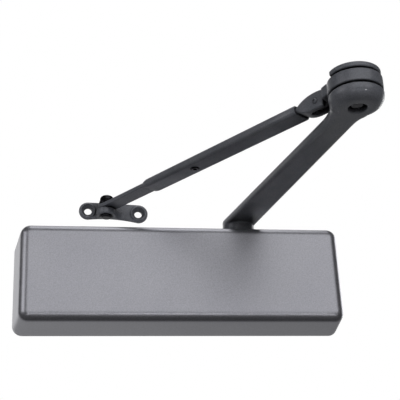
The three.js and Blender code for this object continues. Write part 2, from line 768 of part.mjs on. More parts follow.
function knuckle() {
  const body = chamferedDisc(ELBOW_RADIUS, KNUCKLE_BOTTOM, KNUCKLE_TOP, 0.8, 36);
  const neck = new THREE.Shape();
  neck.moveTo(12, -15.5);
  neck.lineTo(23.6, -12.3);
  neck.lineTo(25.3, -LUG_HALF_THICKNESS - 2);
  neck.lineTo(27, -LUG_HALF_THICKNESS);
  neck.lineTo(TILT_PIN_REACH, -LUG_HALF_THICKNESS);
  neck.lineTo(TILT_PIN_REACH, LUG_HALF_THICKNESS);
  neck.lineTo(27, LUG_HALF_THICKNESS);
  neck.lineTo(25.3, LUG_HALF_THICKNESS + 2);
  neck.lineTo(23.6, 12.3);
  neck.lineTo(12, 15.5);
  const lugEnd = alongY(disc(LUG_HALF_HEIGHT, -LUG_HALF_THICKNESS, LUG_HALF_THICKNESS, 20));
  const lugBottom = TILT_PIN_HEIGHT - LUG_HALF_HEIGHT;
  const lugTop = TILT_PIN_HEIGHT + LUG_HALF_HEIGHT;
  const solids = [
    body,
    raised(neck, lugBottom, lugTop, 0.6, 4, 1),
    lugEnd.translate([TILT_PIN_REACH, 0, TILT_PIN_HEIGHT]),
  ];
  const pinHole = alongY(disc(TILT_PIN_RADIUS + GAP, -10, 10, 16));
  const lug = block(-12, -LUG_HALF_THICKNESS, -12, 12, LUG_HALF_THICKNESS, 12);
  const forkSwing = alongY(disc(FORK_SWING_RADIUS, -11, 11, 40)).subtract(lug);
  const cuts = [
    disc(ELBOW_PIN_RADIUS + BUSHING_WALL + 2 * GAP, KNUCKLE_BOTTOM - 1, KNUCKLE_TOP + 1),
    disc(CAP_RADIUS + 0.7, KNUCKLE_TOP, lugTop + 1, 36),
    pinHole.translate([TILT_PIN_REACH, 0, TILT_PIN_HEIGHT]),
    forkSwing.translate([TILT_PIN_REACH, 0, TILT_PIN_HEIGHT]),
  ];
  return joined(solids).subtract(joined(cuts));
}

function elbowBushing() {
  const inner = ELBOW_PIN_RADIUS + GAP;
  return ring(inner, inner + BUSHING_WALL, KNUCKLE_BOTTOM + 0.4, KNUCKLE_TOP - 0.4);
}

// ---- Forearm, in a frame with +X along it and the tilt pin at the origin ------------------

// The cheek's side view: tall and square at the knuckle, curving down to a shank that is let
// into the tube.
function forkProfile() {
  const shank = TUBE_HEIGHT / 2 - TUBE_WALL - GAP;
  const shankStart = TUBE_START - 1;
  const shankEnd = TUBE_START + 26;
  const shape = new THREE.Shape();
  shape.moveTo(-7.8, -5.2);
  shape.quadraticCurveTo(-7.8, -6.9, -6, -6.9);
  shape.lineTo(5, -6.9);
  shape.quadraticCurveTo(14, -6.4, shankStart, -shank);
  shape.lineTo(shankEnd, -shank);
  shape.lineTo(shankEnd, shank);
  shape.lineTo(shankStart, shank);
  shape.quadraticCurveTo(10, 9, -4, 7.8);
  shape.quadraticCurveTo(-7.8, 7.8, -7.8, 6);
  return shape;
}

function fork() {
  const plate = raised(forkProfile(), -FORK_HALF_WIDTH, FORK_HALF_WIDTH, 1.2, 4, 1);
  const slotHalf = LUG_HALF_THICKNESS + 0.4;
  const slotEnd = disc(slotHalf, -10, 10, 16).translate([5.6, 0, 0]);
  const slot = block(-12, -slotHalf, -10, 5.6, slotHalf, 10).add(slotEnd);
  const pinHole = alongY(disc(TILT_PIN_RADIUS + GAP, -12, 12, 16));
  return plate.rotate([90, 0, 0]).subtract(slot).subtract(pinHole);
}

function tiltPin() {
  return alongY(chamferedDisc(TILT_PIN_RADIUS, -FORK_HALF_WIDTH - 1, FORK_HALF_WIDTH + 1, 0.8, 16));
}

// Sections across the forearm are drawn in Y and Z and run along +X.
function alongForearm(width, height, round, start, end, curveSegments) {
  const bar = raised(roundedRectangle(height, width, round), start, end, 0, curveSegments);
  return alongX(bar);
}

function forearmTube() {
  const outside = alongForearm(TUBE_WIDTH, TUBE_HEIGHT, TUBE_ROUND, TUBE_START, TUBE_END, 4);
  const inside = alongForearm(
    TUBE_WIDTH - 2 * TUBE_WALL,
    TUBE_HEIGHT - 2 * TUBE_WALL,
    TUBE_ROUND - TUBE_WALL,
    TUBE_START - 1,
    TUBE_END + 1,
    2,
  );
  const corner = new THREE.Shape();
  corner.moveTo(TUBE_END - 8, TUBE_WIDTH / 2 + 0.01);
  corner.lineTo(TUBE_END + 1, TUBE_WIDTH / 2 - 1.2);
  corner.lineTo(TUBE_END + 1, TUBE_WIDTH);
  corner.lineTo(TUBE_END - 8, TUBE_WIDTH);
  const cornerCut = raised(corner, -TUBE_HEIGHT, TUBE_HEIGHT);
  const screwHole = disc(CLAMP_SCREW_RADIUS + GAP, -TUBE_HEIGHT, 0, 16);
  const cuts = [
    inside,
    cornerCut,
    cornerCut.mirror([0, 1, 0]),
    screwHole.translate([CLAMP_SCREW_REACH, 0, 0]),
  ];
  return outside.subtract(joined(cuts));
}

function clampScrew() {
  const top = -ROD_THICKNESS / 2 - GAP;
  const bottom = -TUBE_HEIGHT / 2 - 0.8;
  const screw = chamferedDisc(CLAMP_SCREW_RADIUS, bottom, top, 0.4, 16);
  const socket = hexagon(3.2, bottom - 1, bottom + 1.5);
  return screw.subtract(socket).translate([CLAMP_SCREW_REACH, 0, 0]);
}

function forearmRod() {
  const bar = alongForearm(ROD_WIDTH, ROD_THICKNESS, 0.8, ROD_START, ROD_REACH, 2);
  const half = ROD_THICKNESS / 2;
  const eye = chamferedDisc(ROD_EYE_RADIUS, -half, half, 0.5, 28).translate([ROD_REACH, 0, 0]);
  const hole = disc(STUD_HOLE_RADIUS, -half - 1, half + 1, 20).translate([ROD_REACH, 0, 0]);
  return bar.add(eye).subtract(hole);
}

// ---- Frame shoe, in a frame with the stud axis as +Z and the frame towards +Y -------------

const SHOE_HOLES = [
  { x: SHOE_CENTRE_OFFSET - SHOE_HOLE_SPACING / 2, lobe: SHOE_LEFT_RADIUS },
  { x: SHOE_CENTRE_OFFSET + SHOE_HOLE_SPACING / 2, lobe: SHOE_RIGHT_RADIUS },
];

// The plate's outline round its two lobes, drawn smaller by inset.
function shoeOutline(inset) {
  const [left, right] = SHOE_HOLES.map(({ x }) => x);
  const leftRadius = SHOE_LEFT_RADIUS - inset;
  const rightRadius = SHOE_RIGHT_RADIUS - inset;
  const middle = (left + right) / 2;
  const z = SHOE_HOLE_HEIGHT;
  const shape = new THREE.Shape();
  shape.absarc(left, z, leftRadius, Math.PI / 2, (3 * Math.PI) / 2);
  shape.quadraticCurveTo(middle, z - leftRadius + 4, right, z - rightRadius);
  shape.absarc(right, z, rightRadius, -Math.PI / 2, Math.PI / 2);
  shape.quadraticCurveTo(middle, z + rightRadius, left, z + leftRadius);
  return shape;
}

// The plate steps in a little at its back, where it lies on the frame.
function shoePlate() {
  const step = SHOE_BACK_STEP - SHOE_BACK;
  const front = raised(shoeOutline(0), step, SHOE_PLATE_THICKNESS - SHOE_BACK, 0, 8);
  const back = raised(shoeOutline(SHOE_BACK_STEP), -SHOE_BACK, step + 0.5, 0, 6);
  return front.add(back).rotate([90, 0, 0]);
}

// The shelf that carries the stud: a round nose joined to the plate by a flaring web.
function shoeShelf() {
  const front = SHOE_BACK - SHOE_PLATE_THICKNESS;
  const shape = new THREE.Shape();
  shape.moveTo(-SHOE_SHELF_RADIUS, front + 2);
  shape.lineTo(-SHOE_SHELF_RADIUS, 0);
  shape.absarc(0, 0, SHOE_SHELF_RADIUS, Math.PI, 2 * Math.PI);
  shape.quadraticCurveTo(SHOE_SHELF_RADIUS + 1, front - 2, SHOE_SHELF_RADIUS + 9, front);
  shape.lineTo(SHOE_SHELF_RADIUS + 9, front + 2);
  return raised(shape, SHOE_SHELF_BOTTOM, SHOE_SHELF_TOP, 0.8, 8, 1);
}

function shoe() {
  const front = SHOE_BACK - SHOE_PLATE_THICKNESS;
  const solids = [shoePlate(), shoeShelf()];
  // The plate is hollowed behind the stud, so that the rod's eye can turn in front of it.
  const cuts = [
    disc(STUD_RADIUS + GAP, SHOE_SHELF_BOTTOM - 1, SHOE_SHELF_TOP + 1, 20),
    disc(ROD_EYE_RADIUS + 0.9, SHOE_SHELF_TOP, 20, 28),
  ];
  for (const { x, lobe } of SHOE_HOLES) {
    const boss = turned(
      [[0, front - 1], [lobe - 1.4, front - 1], [lobe - 0.6, front + 1], [0, front + 1]],
      24,
    );
    const hole = turned(
      [
        [0, front - 2],
        [SHOE_COUNTERSINK_RADIUS, front - 2],
        [SHOE_COUNTERSINK_RADIUS, front - 0.6],
        [SHOE_HOLE_RADIUS, front + 2.4],
        [SHOE_HOLE_RADIUS, SHOE_BACK + 1],
        [0, SHOE_BACK + 1],
      ],
      20,
    );
    solids.push(alongY(boss).translate([x, 0, SHOE_HOLE_HEIGHT]));
    cuts.push(alongY(hole).translate([x, 0, SHOE_HOLE_HEIGHT]));
  }
  return joined(solids).subtract(joined(cuts));
}

function shoeStud() {
  const headTop = SHOE_SHELF_BOTTOM - GAP;
  const head = turned(
    [[0, headTop - 1.8], [4, headTop - 1.6], [5.8, headTop - 0.5], [5.8, headTop], [0, headTop]],
    20,
  );
  return head.add(disc(STUD_RADIUS, headTop - 0.5, 9.4, 20));
}

const WASHER_BOTTOM = 2.8;
const WASHER_TOP = 3.7;
const NUT_TOP = 12.2;

function shoeWasher() {
  return ring(STUD_RADIUS + GAP, 7.9, WASHER_BOTTOM, WASHER_TOP);
}

// A dome nut: a short round skirt under a rounded crown, with a blind hole for the stud.
function shoeNut() {
  const skirtBottom = WASHER_TOP + GAP;
  const skirtTop = skirtBottom + 3.8;
  const radius = 7.6;
  const profile = [[0, skirtBottom], [radius - 0.5, skirtBottom], [radius, skirtBottom + 0.6]];
  const steps = 4;
  for (let i = 0; i < steps; i += 1) {
    const angle = (i * Math.PI) / 2 / steps;
    profile.push([radius * Math.cos(angle), skirtTop + (NUT_TOP - skirtTop) * Math.sin(angle)]);
  }
  profile.push([0, NUT_TOP]);
  return turned(profile, 24).subtract(disc(STUD_RADIUS + GAP, skirtBottom - 1, 9.7, 20));
}

// ---- Assembly -----------------------------------------------------------------------------

function addHydraulicBody(parent) {
  addPart(parent, 'closer_body', closerBody(), CAST_IRON());
  const headPlug = (body) => alongX(body).translate([CYLINDER_END, AXIS_Y, 0]);
  const springPlug = (body) => alongX(body.rotate([180, 0, 0])).translate([CYLINDER_START, AXIS_Y, 0]);
  addPart(parent, 'head_plug', headPlug(endPlug(0)), STEEL());
  addPart(parent, 'head_plug_seal', headPlug(plugSeal()), RUBBER());
  addPart(parent, 'spring_plug', springPlug(endPlug(ADJUSTER_RADIUS + GAP)), STEEL());
  addPart(parent, 'spring_plug_seal', springPlug(plugSeal()), RUBBER());
  for (const [place, turn] of [['upper', 0], ['lower', 180]]) {
    const set = (body) => body.rotate([turn, 0, 0]).translate([PINION_X, AXIS_Y, 0]);
    addPart(parent, `${place}_bearing`, set(bearing()), STEEL());
    addPart(parent, `${place}_shaft_seal`, set(shaftSeal()), RUBBER());
    addPart(parent, `${place}_bearing_nut`, set(bearingNut()), STEEL());
  }
  for (const { name, x } of VALVES) {
    addPart(parent, name, valveScrew().translate([x, VALVE_Y, 0]), BRASS());
    addPart(parent, `${name}_seal`, valveSeal().translate([x, VALVE_Y, 0]), RUBBER());
  }
}

function addDrive(parent) {
  addPart(parent, 'pinion', pinion().translate([PINION_X, AXIS_Y, 0]), STEEL());
  addPart(parent, 'piston', piston(), STEEL());
  addPart(parent, 'check_ball', checkBall(), STEEL());
  addPart(parent, 'check_ball_retainer', checkBallRetainer(), BRASS());
  addPart(parent, 'main_spring', mainSpring(), SPRING_STEEL());
  addPart(parent, 'spring_seat', springSeat(), STEEL());
  addPart(parent, 'adjusting_screw', adjustingScrew(), STEEL());
}

function addCover(parent) {
  addPart(parent, 'cover', cover(), SILVER_PAINT());
  const clips = [['left', -76], ['right', 8]];
  for (const [place, x] of clips) {
    addPart(parent, `upper_${place}_cover_clip`, coverClip(x, 1), SPRING_STEEL());
    addPart(parent, `lower_${place}_cover_clip`, coverClip(x, -1), SPRING_STEEL());
  }
}

function addMainArm(parent) {
  addPart(parent, 'main_arm', mainArm(), ARM_PAINT());
  addPart(parent, 'arm_washer', armWasher(), STEEL());
  addPart(parent, 'arm_screw', armScrew(), DARK_STEEL());
  const atElbow = (body) => body.translate([ARM_LENGTH, 0, 0]);
  const lowerWasher = ring(ELBOW_PIN_RADIUS + GAP, WASHER_RADIUS, EYE_TOP + GAP, KNUCKLE_BOTTOM - GAP, 32);
  addPart(parent, 'elbow_pin', atElbow(elbowPin()), DARK_STEEL());
  addPart(parent, 'lower_elbow_washer', atElbow(lowerWasher), RUBBER());
  addPart(parent, 'elbow_nut', atElbow(elbowNut()), DARK_STEEL());
}

function addKnuckle(parent) {
  addPart(parent, 'knuckle', knuckle(), ARM_PAINT());
  addPart(parent, 'elbow_bushing', elbowBushing(), BRONZE());
  addPart(parent, 'upper_elbow_washer', upperElbowWasher(), RUBBER());
  addPart(parent, 'elbow_cap', elbowCap(), ARM_PAINT());
}

function addForearm(parent) {
  addPart(parent, 'fork', fork(), ARM_PAINT());
  addPart(parent, 'tilt_pin', tiltPin(), STEEL());
  addPart(parent, 'forearm_tube', forearmTube(), ARM_PAINT());
  addPart(parent, 'clamp_screw', clampScrew(), DARK_STEEL());
  addPart(parent, 'forearm_rod', forearmRod(), ARM_PAINT());
}

function addShoe(parent) {
  addPart(parent, 'shoe', shoe(), ARM_PAINT());
  addPart(parent, 'shoe_stud', shoeStud(), STEEL());
  addPart(parent, 'shoe_washer', shoeWasher(), STEEL());
  addPart(parent, 'shoe_nut', shoeNut(), DARK_STEEL());
}

const group = new THREE.Group();
addHydraulicBody(group);
addDrive(group);
addCover(group);

const armGroup = new THREE.Group();
armGroup.position.set(PINION_X, AXIS_Y, 0);
armGroup.rotation.z = ARM_ANGLE;
addMainArm(armGroup);
group.add(armGroup);

const knuckleGroup = new THREE.Group();
knuckleGroup.position.set(ARM_LENGTH, 0, 0);
knuckleGroup.rotation.z = FOREARM_ANGLE - ARM_ANGLE;
addKnuckle(knuckleGroup);
armGroup.add(knuckleGroup);

const forearmGroup = new THREE.Group();
forearmGroup.position.set(TILT_PIN_REACH, 0, TILT_PIN_HEIGHT);
forearmGroup.rotation.y = -FOREARM_RISE;
addForearm(forearmGroup);
knuckleGroup.add(forearmGroup);

// The shoe sits level with the frame, so it takes only the stud's place from the forearm.
group.updateMatrixWorld(true);
const studPlace = forearmGroup.localToWorld(new THREE.Vector3(ROD_REACH, 0, 0));
const shoeGroup = new THREE.Group();
shoeGroup.position.copy(studPlace);
shoeGroup.rotation.y = SHOE_TILT;
addShoe(shoeGroup);
group.add(shoeGroup);

export default group;
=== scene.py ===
import json
import math
import bmesh
import bpy
from mathutils import Matrix, Vector

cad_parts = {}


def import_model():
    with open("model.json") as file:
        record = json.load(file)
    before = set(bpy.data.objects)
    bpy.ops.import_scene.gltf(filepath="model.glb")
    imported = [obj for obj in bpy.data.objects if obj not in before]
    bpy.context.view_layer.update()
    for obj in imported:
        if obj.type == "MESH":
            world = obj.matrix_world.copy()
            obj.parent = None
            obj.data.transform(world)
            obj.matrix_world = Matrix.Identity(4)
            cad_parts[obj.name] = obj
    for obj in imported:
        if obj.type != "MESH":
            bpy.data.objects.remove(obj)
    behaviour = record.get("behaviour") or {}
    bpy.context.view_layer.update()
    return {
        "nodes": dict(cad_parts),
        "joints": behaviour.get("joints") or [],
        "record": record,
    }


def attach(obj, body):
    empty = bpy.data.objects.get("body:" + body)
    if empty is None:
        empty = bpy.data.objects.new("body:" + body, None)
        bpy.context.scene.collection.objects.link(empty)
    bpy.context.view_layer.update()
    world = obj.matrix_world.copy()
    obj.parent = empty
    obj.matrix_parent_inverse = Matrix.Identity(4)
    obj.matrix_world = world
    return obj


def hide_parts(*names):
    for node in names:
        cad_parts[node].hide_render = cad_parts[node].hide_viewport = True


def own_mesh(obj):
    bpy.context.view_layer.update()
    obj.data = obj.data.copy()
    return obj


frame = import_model()

# The closer's visible pieces are built here in millimetres, each in the frame of the CAD group
# that it belongs to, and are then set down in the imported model's own frame, in metres.

MM = 0.001
UP = Vector((0, 0, 1))
JOINTS = {joint["name"]: joint for joint in frame["joints"]}


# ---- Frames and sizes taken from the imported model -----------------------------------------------

def joint_place(name):
    return Vector(JOINTS[name]["pos_m"])


def place_at(origin, x_axis, z_axis):
    """The matrix of a frame with the given origin, X axis and, as nearly as it can, Z axis."""
    x = x_axis.normalized()
    y = z_axis.cross(x).normalized()
    z = x.cross(y)
    place = Matrix((x, y, z)).transposed().to_4x4()
    place.translation = origin
    return place


def level(vector):
    return Vector((vector.x, vector.y, 0))


PINION_PLACE = joint_place("arm_swing")
ELBOW_PLACE = joint_place("elbow_swing")
STUD_PLACE = joint_place("shoe_swivel")
ARM = place_at(level(PINION_PLACE), level(ELBOW_PLACE - PINION_PLACE), UP)
ELBOW = place_at(level(ELBOW_PLACE), level(ELBOW_PLACE - PINION_PLACE), UP)
KNUCKLE = place_at(level(ELBOW_PLACE), level(STUD_PLACE - ELBOW_PLACE), UP)
FOREARM = place_at(joint_place("forearm_tilt"), Vector(JOINTS["rod_slide"]["axis"]), UP)
SHOE_AXIS = Vector(JOINTS["shoe_swivel"]["axis"]).normalized()
SHOE = place_at(STUD_PLACE, Vector((0, 1, 0)).cross(SHOE_AXIS), SHOE_AXIS)
BODY = Matrix.Identity(4)


def extent(node, place):
    """The lowest and highest corners of a CAD node in the frame of place, in millimetres."""
    inverse = place.inverted()
    points = [(inverse @ vertex.co) / MM for vertex in frame["nodes"][node].data.vertices]
    low = Vector([min(point[i] for point in points) for i in range(3)])
    high = Vector([max(point[i] for point in points) for i in range(3)])
    return low, high


# ---- Outlines -----------------------------------------------------------------------------------

def softened(corners, closed=True, steps=5):
    """A polyline whose corners are rounded. A corner is (a, b) or (a, b, radius)."""
    points = []
    count = len(corners)
    for i, corner in enumerate(corners):
        here = Vector(corner[:2])
        radius = corner[2] if len(corner) > 2 else 0
        at_end = not closed and i in (0, count - 1)
        if radius <= 0 or at_end:
            points.append(here)
            continue
        back = (Vector(corners[i - 1][:2]) - here).normalized()
        ahead = (Vector(corners[(i + 1) % count][:2]) - here).normalized()
        half = back.angle(ahead) / 2
        reach = radius / math.tan(half)
        middle = here + (back + ahead).normalized() * (radius / math.sin(half))
        start = here + back * reach - middle
        finish = here + ahead * reach - middle
        sweep = start.angle_signed(finish)
        for k in range(steps + 1):
            spoke = start.copy()
            spoke.rotate(Matrix.Rotation(-sweep * k / steps, 2))
            points.append(middle + spoke)
    return points


def arc(centre, radius, start, finish, steps=24):
    """Points of an arc, with its angles in degrees."""
    spots = []
    for k in range(steps + 1):
        angle = math.radians(start + (finish - start) * k / steps)
        spots.append((centre[0] + radius * math.cos(angle), centre[1] + radius * math.sin(angle)))
    return spots


def bend(start, handle, finish, steps=14):
    """Points of a quadratic curve, without its first point."""
    spots = []
    for k in range(1, steps + 1):
        t = k / steps
        spots.append(tuple(
            (1 - t) ** 2 * start[i] + 2 * t * (1 - t) * handle[i] + t * t * finish[i]
            for i in range(2)
        ))
    return spots


def rounded_rectangle(width, height, radius, corner_steps=8):
    x = width / 2
    y = height / 2
    corners = [(-x, -y, radius), (x, -y, radius), (x, y, radius), (-x, y, radius)]
    return softened(corners, steps=corner_steps)


# ---- Solids, in millimetres ---------------------------------------------------------------------

WELD = 1e-5
SLIVER = 1e-6


def solid(points, faces, collapse=False):
    """A body from points and faces, with coincident points welded and its faces turned outward.
    With collapse, faces of no area go as well."""
    mesh = bpy.data.meshes.new("solid")
    mesh.from_pydata([tuple(point) for point in points], [], faces)
    body = bpy.data.objects.new("solid", mesh)
    bpy.context.scene.collection.objects.link(body)
    shape = bmesh.new()
    shape.from_mesh(mesh)
    bmesh.ops.remove_doubles(shape, verts=shape.verts, dist=WELD)
    if collapse:
        bmesh.ops.dissolve_degenerate(shape, edges=shape.edges, dist=SLIVER)
    bmesh.ops.recalc_face_normals(shape, faces=shape.faces)
    shape.to_mesh(mesh)
    shape.free()
    return body


def lofted(rings, capped=True):
    """A solid through rings of equally many points; each ring is a list of (x, y, z)."""
    count = len(rings[0])
    points = [point for ring in rings for point in ring]
    faces = []
    for r in range(len(rings) - 1):
        for i in range(count):
            j = (i + 1) % count
            low = r * count
            high = low + count
            faces.append((low + i, low + j, high + j, high + i))
    if capped:
        faces.append(tuple(reversed(range(count))))
        last = (len(rings) - 1) * count
        faces.append(tuple(range(last, last + count)))
    return solid(points, faces)


def turned(profile, segments=96):
    """A solid of revolution about Z from (radius, height) points that start and end on the axis
    or close on themselves."""
    count = len(profile)
    on_axis = profile[0][0] < SLIVER
    points = []
    for k in range(segments):
        angle = 2 * math.pi * k / segments
        for radius, height in profile:
            points.append((radius * math.cos(angle), radius * math.sin(angle), height))
    faces = []
    for k in range(segments):
        near = k * count
        far = ((k + 1) % segments) * count
        for i in range(count - 1 if on_axis else count):
            j = (i + 1) % count
            faces.append((near + i, far + i, far + j, near + j))
    return solid(points, faces, collapse=True)


def disc(radius, low, high, edge=0.4, segments=96):
    """A round plate about Z, with its rims rounded by edge."""
    profile = softened(
        [(0, low), (radius, low, edge), (radius, high, edge), (0, high)], closed=False)
    return turned(profile, segments)


def ring(inner, outer, low, high, edge=0.4, segments=96):
    """A washer about Z."""
    corners = [(inner, low, edge), (outer, low, edge), (outer, high, edge), (inner, high, edge)]
    return turned(softened(corners), segments)


def raised(outline, low, high, edge=0.0, steps=4):
    """An outline in X and Y raised from low to high, with its rims rounded by edge."""
    points = [Vector(point[:2]) for point in outline]
    area = sum(points[i - 1].cross(points[i]) for i in range(len(points)))
    if area < 0:
        points.reverse()
    count = len(points)
    normals = []
    for i in range(count):
        before = points[i] - points[i - 1]
        after = points[(i + 1) % count] - points[i]
        normal = (Vector((before.y, -before.x)).normalized()
                  + Vector((after.y, -after.x)).normalized())
        normals.append(normal.normalized() / max(normal.length / 2, 0.5))
    levels = [(low, 0)]
    if edge > 0:
        angles = [math.pi / 2 * k / steps for k in range(steps + 1)]
        levels = [(low + edge * (1 - math.cos(a)), edge * (1 - math.sin(a))) for a in angles]
    levels += [(low + high - height, inset) for height, inset in reversed(levels)]
    return lofted([[(*(points[i] - normals[i] * inset), height) for i in range(count)]
                   for height, inset in levels])


def block(low, high, edge=0.3):
    """A box between two corners, with rounded edges."""
    width, depth = high[0] - low[0], high[1] - low[1]
    outline = rounded_rectangle(width, depth, max(edge, 0.05), 4)
    middle = Vector(((low[0] + high[0]) / 2, (low[1] + high[1]) / 2))
    return raised([point + middle for point in outline], low[2], high[2], edge, 3)


def hexagon(across_flats, low, high, edge=0.3):
    reach = across_flats / math.sqrt(3)
    corners = [(reach * math.cos(math.radians(60 * k)), reach * math.sin(math.radians(60 * k)), edge)
               for k in range(6)]
    return raised(softened(corners, steps=3), low, high, edge, 3)


def moved(body, *shift):
    body.data.transform(Matrix.Translation(Vector(shift)))
    return body


def stood_up(body):
    """Turns a body that was raised along Z so that its height points toward -Y."""
    body.data.transform(Matrix.Rotation(math.radians(90), 4, "X"))
    return body


def along_y(body):
    """Turns a body that was made along Z so that its height points toward +Y."""
    body.data.transform(Matrix.Rotation(math.radians(-90), 4, "X"))
    return body


def baked(body):
    """Applies the body's modifiers to its mesh."""
    graph = bpy.context.evaluated_depsgraph_get()
    graph.update()
    mesh = bpy.data.meshes.new_from_object(body.evaluated_get(graph))
    old = body.data
    body.modifiers.clear()
    body.data = mesh
    bpy.data.meshes.remove(old)
    return body


def combined(body, others, operation):
    """Joins bodies to the first or cuts them from it, and removes them."""
    for other in others:
        cut = body.modifiers.new("cut", "BOOLEAN")
        cut.operation = operation
        cut.solver = "MANIFOLD"
        cut.object = other
        baked(body)
        bpy.data.objects.remove(other)
    return body


def joined(body, *others):
    return combined(body, others, "UNION")


def carved(body, *cutters):
    return combined(body, cutters, "DIFFERENCE")


def cast(body, voxel=0.5, passes=6):
    """Melts a body into one skin whose inner corners are filleted, as a forging or casting is."""
    melt = body.modifiers.new("melt", "REMESH")
    melt.mode = "VOXEL"
    melt.voxel_size = voxel
    soften = body.modifiers.new("soften", "SMOOTH")
    soften.factor = 0.5
    soften.iterations = passes
    return baked(body)


def bevelled(body, width, angle, segments=2):
    """Rounds the edges that are sharper than angle."""
    edge = body.modifiers.new("edge", "BEVEL")
    edge.width = width
    edge.segments = segments
    edge.limit_method = "ANGLE"
    edge.angle_limit = math.radians(angle)
    return baked(body)


def set_down(body, name, place, rides, slot, material, *nodes, sharp=38):
    """Gives a finished body its name, place, material and CAD body."""
    body.name = name
    body.data.name = name
    body.data.transform(place @ Matrix.Scale(MM, 4))
    body.data.shade_smooth()
    body.data.set_sharp_from_angle(angle=math.radians(sharp))
    body.data.materials.clear()
    body.data.materials.append(material)
    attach(body, rides)
    if nodes:
        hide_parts(*nodes)
    return body


# ---- Materials ----------------------------------------------------------------------------------

class Finish:
    """A small helper that builds one node material."""

    def __init__(self, name, **sockets):
        self.material = bpy.data.materials.new(name)
        self.material.use_nodes = True
        self.tree = self.material.node_tree
        self.shader = self.tree.nodes["Principled BSDF"]
        self.place = self.node("ShaderNodeTexCoord").outputs["Object"]
        for socket, value in sockets.items():
            self.shader.inputs[socket.replace("_", " ")].default_value = value

    def node(self, kind, **values):
        made = self.tree.nodes.new(kind)
        for key, value in values.items():
            setattr(made, key, value)
        return made

    def link(self, source, target):
        self.tree.links.new(source, target)

    def noise(self, scale, detail=3, roughness=0.5):
        texture = self.node("ShaderNodeTexNoise")
        texture.inputs["Scale"].default_value = scale
        texture.inputs["Detail"].default_value = detail
        texture.inputs["Roughness"].default_value = roughness
        self.link(self.place, texture.inputs["Vector"])
        return texture.outputs["Fac"]

    def stretched_noise(self, scale, stretch, detail=2):
        mapping = self.node("ShaderNodeMapping")
        mapping.inputs["Scale"].default_value = stretch
        self.link(self.place, mapping.inputs["Vector"])
        texture = self.node("ShaderNodeTexNoise")
        texture.inputs["Scale"].default_value = scale
        texture.inputs["Detail"].default_value = detail
        self.link(mapping.outputs["Vector"], texture.inputs["Vector"])
        return texture.outputs["Fac"]

    def ramp(self, source, *stops):
        """A colour ramp whose stops are (position, colour)."""
        ramp = self.node("ShaderNodeValToRGB")
        elements = ramp.color_ramp.elements
        while len(elements) < len(stops):
            elements.new(0.5)
        for element, (position, colour) in zip(elements, stops):
            element.position = position
            element.color = (*colour, 1)
        self.link(source, ramp.inputs["Fac"])
        return ramp.outputs["Color"]

    def range(self, source, low, high, from_low=0.3, from_high=0.7):
        node = self.node("ShaderNodeMapRange")
        node.inputs["From Min"].default_value = from_low
        node.inputs["From Max"].default_value = from_high
        node.inputs["To Min"].default_value = low
        node.inputs["To Max"].default_value = high
        self.link(source, node.inputs["Value"])
        return node.outputs["Result"]

    def mix(self, factor, first, second, blend="MIX"):
        node = self.node("ShaderNodeMix", data_type="RGBA", blend_type=blend)
        for value, target in ((factor, node.inputs["Factor"]), (first, node.inputs["A"]),
                              (second, node.inputs["B"])):
            if isinstance(value, bpy.types.NodeSocket):
                self.link(value, target)
            elif target.name == "Factor":
                target.default_value = value
            else:
                target.default_value = (*value, 1)
        return node.outputs["Result"]

    def colour(self, source):
        self.link(source, self.shader.inputs["Base Color"])

    def roughness(self, source):
        self.link(source, self.shader.inputs["Roughness"])

    def bumps(self, *layers):
        """Bump from (height, distance in metres, strength) layers, one on another."""
        below = None
        for height, distance, strength in layers:
            bump = self.node("ShaderNodeBump")
            bump.inputs["Distance"].default_value = distance
            bump.inputs["Strength"].default_value = strength
            self.link(height, bump.inputs["Height"])
            if below is not None:
                self.link(below, bump.inputs["Normal"])
            below = bump.outputs["Normal"]
        self.link(below, self.shader.inputs["Normal"])

    def painted_hollow_shade(self, colour, reach, darkest):
        """The colour, darker where other surfaces lie within reach (metres) in front of it: painted
        shade in creases, recesses and between close parts.
        """
        # Painted shade: an occlusion pass darkens the base colour where nearby surfaces would shadow
        # it.
        cavity = self.node("ShaderNodeAmbientOcclusion", samples=8)
        cavity.inputs["Distance"].default_value = reach
        shade = self.range(cavity.outputs["AO"], darkest, 1.0, 0.25, 0.95)
        grey = self.node("ShaderNodeCombineColor")
        for channel in ("Red", "Green", "Blue"):
            self.link(shade, grey.inputs[channel])
        return self.mix(1.0, colour, grey.outputs["Color"], "MULTIPLY")


def silver_paint():
    """Satin metallic silver lacquer: fine flakes in a clear coat, with a faint orange peel."""
    finish = Finish("silver_lacquer", Metallic=0.82, Coat_Weight=0.2, Coat_Roughness=0.25)
    flakes = finish.noise(900, 5, 0.75)
    clouds = finish.noise(14, 3)
    base = finish.ramp(flakes, (0.36, (0.36, 0.36, 0.395)), (0.64, (0.5, 0.5, 0.545)))
    shade = finish.ramp(clouds, (0.35, (0.94, 0.94, 0.95)), (0.65, (1.0, 1.0, 1.0)))
    finish.colour(finish.mix(1.0, base, shade, "MULTIPLY"))
    finish.roughness(finish.range(flakes, 0.33, 0.43))
    finish.bumps((finish.noise(260, 2), 0.0004, 0.06), (flakes, 0.0001, 0.12))
    return finish.material


def arm_paint():
    """Dark grey metallic paint over forged and pressed steel, slightly uneven in tone, darkened by
    painted shade in creases, recesses and where parts lie close.
    """
    finish = Finish("dark_arm_lacquer", Metallic=0.15, Coat_Weight=0.28, Coat_Roughness=0.1,
                    Specular_IOR_Level=0.12)
    flakes = finish.noise(1500, 4, 0.7)
    clouds = finish.noise(70, 4)
    base = finish.ramp(flakes, (0.34, (0.165, 0.17, 0.19)), (0.68, (0.275, 0.28, 0.31)))
    shade = finish.ramp(clouds, (0.32, (0.8, 0.82, 0.84)), (0.68, (1.0, 1.0, 1.0)))
    painted = finish.mix(1.0, base, shade, "MULTIPLY")
    # Painted shade: the paint colour goes nearly black where other surfaces lie within 20 mm.
    finish.colour(finish.painted_hollow_shade(painted, 0.02, 0.06))
    finish.roughness(finish.range(clouds, 0.36, 0.46))
    finish.bumps((finish.noise(190, 3), 0.0005, 0.12), (flakes, 0.0001, 0.14))
    return finish.material


